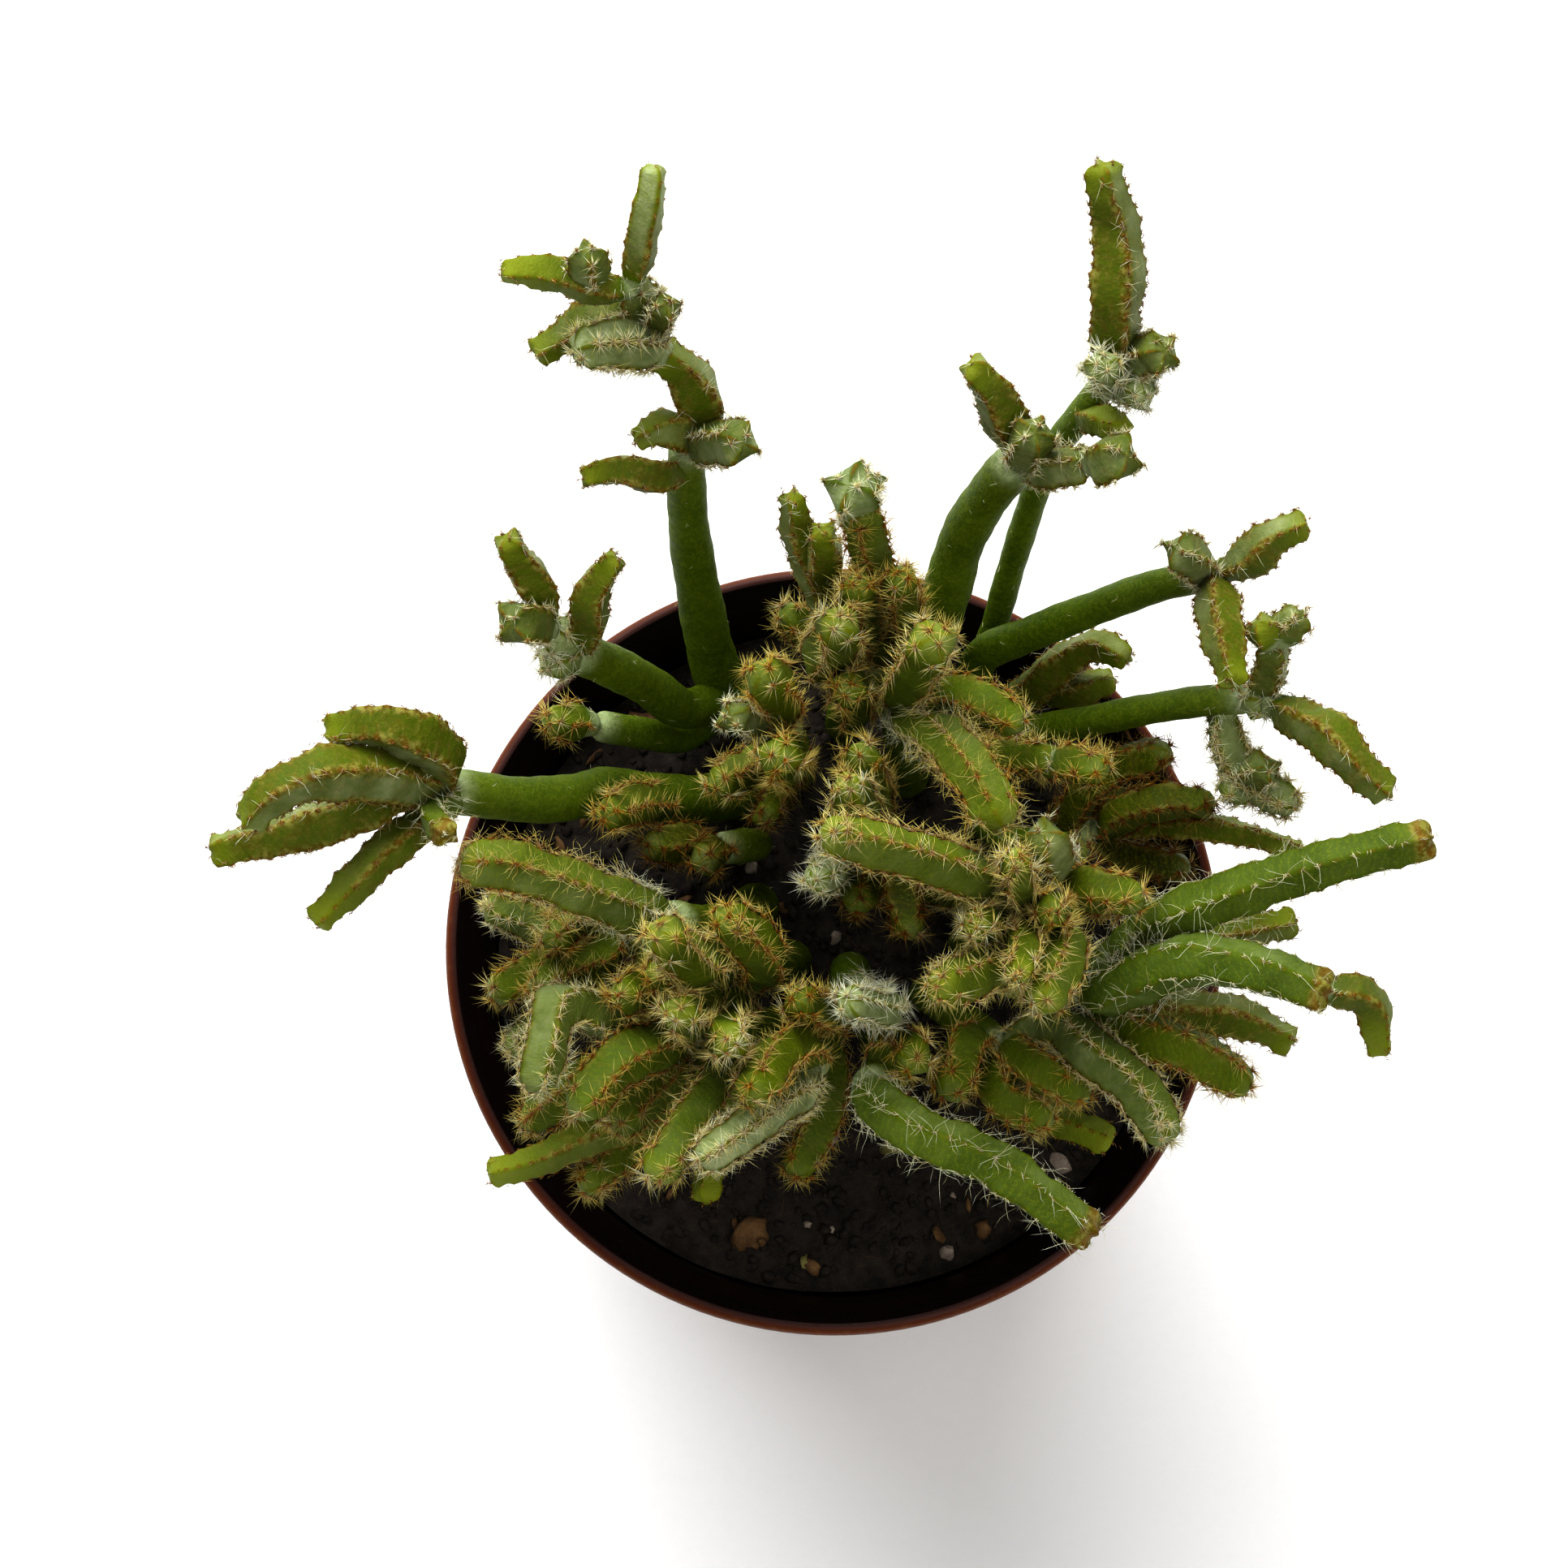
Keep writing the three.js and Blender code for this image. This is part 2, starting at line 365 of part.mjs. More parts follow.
function makePot() {
  const lipFoot = POT_HEIGHT - LIP_HEIGHT;
  const outerTop = innerRadius(lipFoot) + WALL;
  const shell = turned([
    [0, 0],
    [BASE_RADIUS - 1, 0],
    [BASE_RADIUS, FOOT_EDGE],
    [outerTop, lipFoot],
    [RIM_RADIUS - LIP_EDGE, lipFoot + 0.3],
    [RIM_RADIUS, lipFoot + 1.3],
    [RIM_RADIUS - 0.3, POT_HEIGHT - 0.9],
    [RIM_RADIUS - 1.1, POT_HEIGHT],
    [RIM_RADIUS - LIP_WIDTH + LIP_EDGE, POT_HEIGHT - 0.4],
    [RIM_RADIUS - LIP_WIDTH - 0.2, POT_HEIGHT - 1.6],
    [innerRadius(lipFoot), lipFoot - 0.6],
    [innerRadius(FLOOR), FLOOR],
    [0, FLOOR],
  ]);
  let pot = toSolid(shell);
  for (let i = 0; i < DRAIN_COUNT; i++) {
    const angle = (i + 0.5) * (2 * Math.PI / DRAIN_COUNT);
    const drain = new THREE.CylinderGeometry(DRAIN_RADIUS, DRAIN_RADIUS, FLOOR * 3, 10).rotateX(Math.PI / 2);
    drain.translate(DRAIN_CIRCLE * Math.cos(angle), DRAIN_CIRCLE * Math.sin(angle), 0);
    pot = pot.subtract(toSolid(drain));
  }
  return pot;
}

// The soil's height above its mean level.
function soilBump(x, y) {
  const slow = Math.sin(x * 0.21 + 0.7) * Math.cos(y * 0.17 - 0.4);
  const quick = Math.sin(x * 0.53 - y * 0.37) * 0.5;
  return SOIL_BUMP * (slow + quick);
}

function makeSoil(shoots) {
  const bottom = FLOOR + SOIL_GAP;
  const shoulder = SOIL_TOP - SOIL_SHOULDER;
  const top = SOIL_RINGS.map((radius) => [radius, SOIL_TOP]);
  const body = turned([
    [0, bottom],
    [innerRadius(bottom) - SOIL_GAP, bottom],
    [innerRadius(shoulder) - SOIL_GAP, shoulder],
    ...top,
    [0, SOIL_TOP],
  ]);
  const points = body.attributes.position;
  for (let i = 0; i < points.count; i++) {
    if (points.getZ(i) > shoulder + SOIL_SHOULDER / 2) {
      points.setZ(i, SOIL_TOP + soilBump(points.getX(i), points.getY(i)));
    }
  }
  let soil = toSolid(body);
  CHIPS.forEach(([x, y, radius], i) => {
    const chip = new THREE.IcosahedronGeometry(radius, 0).rotateX(i).rotateY(i * 2);
    chip.scale(1, 1, CHIP_FLATNESS);
    chip.translate(x, y, SOIL_TOP + soilBump(x, y) + CHIP_LIFT);
    soil = soil.add(toSolid(chip));
  });
  for (const shoot of shoots) {
    const clear = shoot.rings.findIndex((ring) => ring.at.z > SOIL_TOP + FREE_FROM);
    if (clear > 0) {
      const [lowest, ...buried] = shoot.rings.slice(0, clear + 1);
      const foot = { ...lowest, at: lowest.at.clone().addScaledVector(lowest.along, -SOCKET_GAP) };
      soil = soil.subtract(toSolid(shootGeometry([foot, ...buried], shoot.kind, SOCKET_GAP)));
    }
  }
  return mainBody(soil);
}

// The centre line of every shoot as points that know their neighbours. A shoot starts at a point of
// its parent.
function growCentreLines() {
  const points = [];
  const shoots = [];
  const addPoint = (at, radius, stem, rooted) => {
    points.push({ at, radius, stem, rooted, links: [], push: new THREE.Vector3() });
    return points[points.length - 1];
  };
  for (const [stem, { root: [x, y], shoots: rows }] of Object.entries(STEMS)) {
    const grown = {};
    for (const [name, parentName, start, kind, firstRadius, lastRadius, ...through] of rows) {
      const parent = grown[parentName];
      const line = parent ? [parent.points[startIndex(parent, start)]] : [];
      const first = parent
        ? [line[0].at]
        : [new THREE.Vector3(x, y, ROOT_Z), new THREE.Vector3(x, y, SOIL_TOP + STRAIGHT_TO)];
      const then = through.map((place) => new THREE.Vector3(...place));
      const curve = new THREE.CatmullRomCurve3([...first, ...then]);
      const steps = Math.max(2, Math.round(curve.getLength() / SAMPLE_STEP));
      curve.getSpacedPoints(steps).forEach((at, i) => {
        if (parent && i === 0) return;
        const radius = firstRadius + (lastRadius - firstRadius) * (i / steps);
        line.push(addPoint(at, radius, stem, !parent && at.z < SOIL_TOP + FREE_FROM));
      });
      for (let i = 1; i < line.length; i++) {
        line[i].links.push(line[i - 1]);
        line[i - 1].links.push(line[i]);
      }
      const turn = shoots.length;
      grown[name] = { stem, kind: KINDS[kind], points: line, firstRadius, lastRadius, turn };
      shoots.push(grown[name]);
    }
  }
  return { points, shoots };
}

// Which point of a shoot lies the given share of the way from the soil, or from its start, to its tip.
function startIndex(shoot, share) {
  const low = shoot.points.findIndex((point) => !point.rooted);
  return Math.round(low + (shoot.points.length - 1 - low) * share);
}

// How many samples of stem lie between a point and each other point of its stem.
function stepsFrom(start) {
  const steps = new Map([[start, 0]]);
  const queue = [start];
  for (const point of queue) {
    for (const link of point.links) {
      if (steps.has(link)) continue;
      steps.set(link, steps.get(point) + 1);
      queue.push(link);
    }
  }
  return steps;
}

// The pairs of points that have to stay apart: all those of different stems, and those of one stem
// that are well past the fork where they part.
function pairsApart(points) {
  const pairs = [];
  points.forEach((one, i) => {
    const steps = stepsFrom(one);
    for (const other of points.slice(i + 1)) {
      const widths = one.radius + other.radius;
      if (one.stem !== other.stem) {
        pairs.push([one, other, widths + CLEARANCE]);
      } else if (steps.get(other) * SAMPLE_STEP > FORK_REACH * widths) {
        pairs.push([one, other, widths + FORK_CLEARANCE]);
      }
    }
  });
  return pairs;
}

// Bends shoots that would touch clear of each other. A push is shared along the stem, so that curves
// stay smooth.
function bendClear(points) {
  const pairs = pairsApart(points);
  const away = new THREE.Vector3();
  for (let round = 0; round < BEND_ROUNDS; round++) {
    for (const point of points) point.push.set(0, 0, 0);
    for (const [one, other, need] of pairs) {
      away.subVectors(one.at, other.at);
      const apart = away.length();
      if (apart >= need) continue;
      away.multiplyScalar((need - apart) / 2 / Math.max(apart, 0.01));
      one.push.add(away);
      other.push.sub(away);
    }
    for (const point of points) {
      const floor = SOIL_TOP + SOIL_BUMP + point.radius + CLEARANCE;
      if (!point.rooted && point.at.z < floor && Math.hypot(point.at.x, point.at.y) < RIM_RADIUS) {
        point.push.z += (floor - point.at.z) / 2;
      }
    }
    for (let pass = 0; pass < SHARE_PASSES; pass++) {
      const shared = points.map((point) => {
        const mean = new THREE.Vector3();
        for (const link of point.links) mean.addScaledVector(link.push, 1 / point.links.length);
        return mean.lerp(point.push, 0.5);
      });
      points.forEach((point, i) => point.push.copy(shared[i]).multiplyScalar(point.rooted ? 0 : 1));
    }
    for (const point of points) point.at.add(point.push);
  }
}

// The cross-sections of a shoot: where each lies, which way it faces and how wide it is. The buried part
// of a stem is straight, so it has none between its foot and the open air.
function withRings(shoot) {
  const { points, kind, firstRadius, lastRadius, turn } = shoot;
  const last = points.length - 1;
  const length = points.slice(1).reduce((sum, point, i) => sum + point.at.distanceTo(points[i].at), 0);
  const spans = Math.max(length < SHORT_SHOOT ? 1 : 2, Math.round(length / kind.ringStep));
  const side = new THREE.Vector3();
  const rings = [];
  for (let i = 0; i <= spans; i++) {
    const share = i / spans;
    const spot = Math.round(share * last);
    if (i > 0 && points[spot].at.z < SOIL_TOP + FIRST_RING) continue;
    const before = points[Math.max(spot - 1, 0)].at;
    const after = points[Math.min(spot + 1, last)].at;
    const along = new THREE.Vector3().subVectors(after, before).normalize();
    if (i === 0) {
      side.set(Math.cos(turn * GOLDEN_ANGLE), Math.sin(turn * GOLDEN_ANGLE), 0.3);
    }
    side.addScaledVector(along, -side.dot(along)).normalize();
    const narrowing = i === 0 ? kind.neck : 1;
    const radius = (firstRadius + (lastRadius - firstRadius) * share) * narrowing;
    rings.push({ at: points[spot].at.clone(), along, side: side.clone(), radius });
  }
  return { ...shoot, length, rings };
}

function ringPoint(ring, angle, distance) {
  const across = new THREE.Vector3().crossVectors(ring.along, ring.side);
  return ring.at.clone()
    .addScaledVector(ring.side, Math.cos(angle) * distance)
    .addScaledVector(across, Math.sin(angle) * distance);
}

// A closed body through the rings, with ribs and sunken faces on a ribbed shoot, and a dished blunt tip.
function shootGeometry(rings, kind, extra = 0) {
  const count = kind.ribbed ? kind.corners * 2 : kind.corners;
  const positions = [];
  const triangles = [];
  for (const ring of rings) {
    for (let k = 0; k < count; k++) {
      const depth = kind.ribbed && k % 2 === 1 ? kind.valley : 1;
      positions.push(...ringPoint(ring, (k / count) * 2 * Math.PI, ring.radius * depth + extra));
    }
  }
  for (let i = 0; i + 1 < rings.length; i++) {
    for (let k = 0; k < count; k++) {
      const a = i * count + k;
      const b = i * count + ((k + 1) % count);
      triangles.push(a, b, b + count, a, b + count, a + count);
    }
  }
  const end = rings[rings.length - 1];
  const dish = kind.ribbed && extra === 0 ? TIP_DISH : -TIP_POINT;
  const foot = positions.length / 3;
  positions.push(...rings[0].at, ...end.at.clone().addScaledVector(end.along, -dish * end.radius));
  for (let k = 0; k < count; k++) {
    const next = (k + 1) % count;
    const row = (rings.length - 1) * count;
    triangles.push(foot, next, k, foot + 1, row + k, row + next);
  }
  const geometry = new THREE.BufferGeometry();
  geometry.setAttribute("position", new THREE.Float32BufferAttribute(positions, 3));
  geometry.setIndex(triangles);
  return geometry;
}

// A three-sided needle with its root sunk in the shoot.
function bristleGeometry(root, direction, length) {
  const needle = new THREE.ConeGeometry(BRISTLE_RADIUS, length + BRISTLE_ROOT, 3, 1);
  needle.translate(0, (length - BRISTLE_ROOT) / 2, 0);
  needle.applyQuaternion(new THREE.Quaternion().setFromUnitVectors(new THREE.Vector3(0, 1, 0), direction));
  return needle.translate(root.x, root.y, root.z);
}

// How far a place lies from the surface of the nearest shoot, among the points that are asked about.
function distanceTo(place, points) {
  const distances = points.map((point) => place.distanceTo(point.at) - point.radius);
  return Math.min(...distances);
}

// A bristle stays on its own stem's side of every gap, above the soil and off the pot's rim.
function bristleIsClear(root, direction, length, own, others) {
  return PROBED_SHARES.every((share) => {
    const place = root.clone().addScaledVector(direction, length * share);
    const reach = Math.hypot(place.x, place.y);
    if (place.z < SOIL_TOP + 2 * SOIL_BUMP + BRISTLE_MARGIN && reach < RIM_RADIUS) return false;
    if (place.z < POT_HEIGHT + 1 && reach > innerRadius(POT_HEIGHT) - 1) return false;
    return distanceTo(place, others) - Math.max(distanceTo(place, own), 0) > BRISTLE_MARGIN;
  });
}

// Bristles up the ribs of one shoot, turned on from rib to rib so that they are even on all sides, and
// at its tip.
function bristlesOf(shoot, own, others, random) {
  const { kind, rings, length } = shoot;
  if (!kind.bristleStep) return [];
  const count = Math.max(length < SHORT_SHOOT ? 1 : 2, Math.round(length / kind.bristleStep));
  const bristles = [];
  for (let i = 0; i < count; i++) {
    const share = BRISTLES_FROM + (BRISTLES_OVER * (i + 0.5 + BRISTLE_DRIFT * random())) / count;
    const spot = share * (rings.length - 1);
    const low = rings[Math.floor(spot)];
    const high = rings[Math.min(Math.floor(spot) + 1, rings.length - 1)];
    const blend = spot - Math.floor(spot);
    const rib = (i * 2 + shoot.turn) % kind.corners;
    const angle = (rib / kind.corners) * 2 * Math.PI;
    const radius = THREE.MathUtils.lerp(low.radius, high.radius, blend);
    const centre = low.at.clone().lerp(high.at, blend);
    const outward = ringPoint(low, angle, 1).sub(low.at);
    const root = centre.addScaledVector(outward, radius);
    const lean = i === count - 1 ? TIP_LEAN : BRISTLE_LEAN * random();
    const stray = new THREE.Vector3(random() - 0.5, random() - 0.5, random() - 0.5);
    const direction = outward.clone()
      .addScaledVector(low.along, lean)
      .addScaledVector(stray, BRISTLE_STRAY)
      .normalize();
    const full = kind.bristle * (0.8 + 0.4 * random());
    const fitting = BRISTLE_CUTS.find((cut) => bristleIsClear(root, direction, full * cut, own, others));
    if (fitting) bristles.push(toSolid(bristleGeometry(root, direction, full * fitting)));
  }
  return bristles;
}

function makeStem(stem, shoots, points, random) {
  const own = points.filter((point) => point.stem === stem);
  const others = points.filter((point) => point.stem !== stem);
  const mine = shoots.filter((shoot) => shoot.stem === stem);
  const bodies = mine.map((shoot) => toSolid(shootGeometry(shoot.rings, shoot.kind)));
  const bristles = mine.flatMap((shoot) => bristlesOf(shoot, own, others, random));
  return mainBody([...bodies, ...bristles].reduce((whole, part) => whole.add(part)));
}

function makePlant() {
  const grown = growCentreLines();
  const points = grown.points;
  bendClear(points);
  const shoots = grown.shoots.map(withRings);
  const random = makeRandom(7);
  const plant = new THREE.Group();
  plant.add(toMesh("pot", makePot(), COLOURS.pot));
  plant.add(toMesh("soil", makeSoil(shoots), COLOURS.soil));
  for (const stem of Object.keys(STEMS)) {
    plant.add(toMesh(`stem_${stem}`, makeStem(stem, shoots, points, random), COLOURS.stem));
  }
  return plant;
}

export default makePlant();
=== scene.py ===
import json
import math

import bpy
import numpy as np
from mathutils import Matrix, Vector

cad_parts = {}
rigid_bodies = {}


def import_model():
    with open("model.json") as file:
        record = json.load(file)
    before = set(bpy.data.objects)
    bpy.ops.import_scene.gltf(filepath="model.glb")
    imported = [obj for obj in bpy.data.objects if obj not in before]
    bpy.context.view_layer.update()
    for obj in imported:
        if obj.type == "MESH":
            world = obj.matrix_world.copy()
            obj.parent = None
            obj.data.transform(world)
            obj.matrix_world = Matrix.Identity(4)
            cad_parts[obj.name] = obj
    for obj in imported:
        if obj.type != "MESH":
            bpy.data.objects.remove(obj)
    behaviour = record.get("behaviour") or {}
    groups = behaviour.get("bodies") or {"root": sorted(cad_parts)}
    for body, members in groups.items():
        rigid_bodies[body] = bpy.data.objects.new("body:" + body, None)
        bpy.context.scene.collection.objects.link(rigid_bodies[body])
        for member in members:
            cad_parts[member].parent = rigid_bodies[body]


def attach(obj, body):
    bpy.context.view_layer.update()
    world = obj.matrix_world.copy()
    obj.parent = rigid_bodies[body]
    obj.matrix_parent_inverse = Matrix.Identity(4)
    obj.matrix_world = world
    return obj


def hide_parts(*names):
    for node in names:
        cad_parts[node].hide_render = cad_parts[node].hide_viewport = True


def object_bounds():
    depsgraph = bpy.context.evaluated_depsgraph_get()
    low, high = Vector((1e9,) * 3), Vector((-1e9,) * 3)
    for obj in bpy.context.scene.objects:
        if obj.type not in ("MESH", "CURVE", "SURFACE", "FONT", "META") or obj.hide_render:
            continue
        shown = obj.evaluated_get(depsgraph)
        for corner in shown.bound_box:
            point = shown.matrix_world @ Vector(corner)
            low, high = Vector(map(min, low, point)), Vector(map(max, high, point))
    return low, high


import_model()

CAD_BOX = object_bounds()
MM = 0.001
BODY = "root"
GOLDEN_ANGLE = math.pi * (3 - math.sqrt(5))

# The camera stands high above the plant and a little to its front.
EYE = (-5.39, -68.03, 516.73)
AIM = (-5.39, 17.84, 75.0)
LENS = 93.64

# The pot and its soil, as in the part's solids.
POT_HEIGHT = 75
RIM_RADIUS = 42.5
BASE_RADIUS = 30
WALL = 1.2
LIP_WIDTH = 2.4
LIP_HEIGHT = 3.4
FLOOR = 1.6
DRAIN_COUNT = 6
DRAIN_RADIUS = 2.6
DRAIN_CIRCLE = 21
SOIL_TOP = 66
SOIL_GAP = 0.35
SOIL_BUMP = 0.7

# How the stems grow, as in the part's solids: the depth of the roots, the step along a centre line, the room kept
# between shoots and past a fork, and how often and how far they are bent clear of each other.
ROOT_Z = 52
SAMPLE_STEP = 1.6
CLEARANCE = 0.9
FORK_REACH = 3
FORK_CLEARANCE = 0.3
BEND_ROUNDS = 120
SHARE_PASSES = 4
FURTHEST_BEND = 16

# The kinds of shoot: ribs round it, how deep its faces sink between them and how narrow it starts.
KINDS = {
    "stem": dict(ribs=0, valley=1, neck=1),
    "twig": dict(ribs=4, valley=0.82, neck=0.66),
    "joint": dict(ribs=4, valley=0.82, neck=0.6),
    "hairy": dict(ribs=5, valley=0.87, neck=0.7),
}

# How a shoot is dressed. bead: the spacing of the areoles on a rib. tooth: how far each one stands out. plump: how
# much wider the middle is. dome: how much of the tip is rounded off, in radii. end: how narrow the shoot grows
# towards its tip. lift: how far the ribs stand up round the tip, in radii. count, long, curl, gold: the bristles of
# one areole, their length, how crooked they are and how golden. fuzz: the short ones among them. tuft: the bristles
# at the tip. young, fresh: how yellow the tip is and over what length. grey, rust, scorch: how waxy the faces and
# how brown the ribs and the tip are. dusk: how much painted shade darkens a shoot that lies
# in the shade of the others, skin and bristles. blanch: how pale one face in two is, from wax bloom and
# painted sheen.
DRESS_TABLE = """
        bead tooth plump dome end  lift count long curl gold fuzz tuft young fresh grey rust scorch dusk blanch
bare    6    0     0     0.6  1    0    0.4   0.8  0.2  0.1  0    0    0.12  9     0.02 0    0      0    0
young   1.4  0.13  0.08  0.5  0.76 0.12 0.5   0.6  0.1  0.6  2.5  5    0.7   8     0.08 1.2  0.1    0    0.15
pale    1.4  0.1   0.06  0.5  0.8  0.12 0.4   0.5  0.1  0.5  2    5    0.6   9     1.1  1.3  0      0    0
toothed 1.2  0.2   0.24  0.5  0.74 0.25 1.1   1.7  0.16 0.1  4    10   0.5   4     0.05 1.25 0.7    0    0.9
crown   1.2  0.2   0.12  0.6  0.96 0.3  8     1.3  0.14 0.1  7    60   0     3     0.4  1.15 0.7    0    0.8
hoary   1.2  0.22  0.1   0.5  1    0.25 9     1.5  0.14 0.05 9    90   0     3     1.4  0.9  0.5    0    0.4
golden  1.4  0.16  0.06  1    0.95 0    7.5   2.3  0.06 0.75 7    160  0.25  3.5   0.02 1    0      0    0.1
bright  1.4  0.16  0.04  1    0.94 0    7     2.3  0.06 0.5  7    180  0.5   3.2   0.06 0.9  0      0    0.15
dusky   1.4  0.14  0.06  0.9  0.92 0    7.5   2.2  0.08 0.95 6    110  0.2   3     0    1    0.2    0.7  0
mixed   1.4  0.16  -0.08 0.9  0.92 0    8     2.5  0.3  0.5  8    180  0.6   4     0.1  0.95 0      0    0.25
frosted 1.2  0.14  0.05  0.7  0.88 0.04 9     1.8  0.1  0.25 9    200  0.3   4     0.3  0.9  0.1    0    0.4
waxy    1.2  0.14  0.05  0.7  0.9  0.1  18    1.9  0.1  0.25 7    160  0.2   4     1.3  1.05 0.1    0    0.4
woolly  1.6  0.1   0     0.55 0.82 0.3  3.2   3    0.22 0.05 4    12   0.2   5     0.15 0.25 1.9    0    0.3
tufted  1.4  0.12  0     0.8  0.92 0.04 7     2.1  0.1  0    10   170  0.3   3     1.2  0.9  0.2    0    0.4
"""

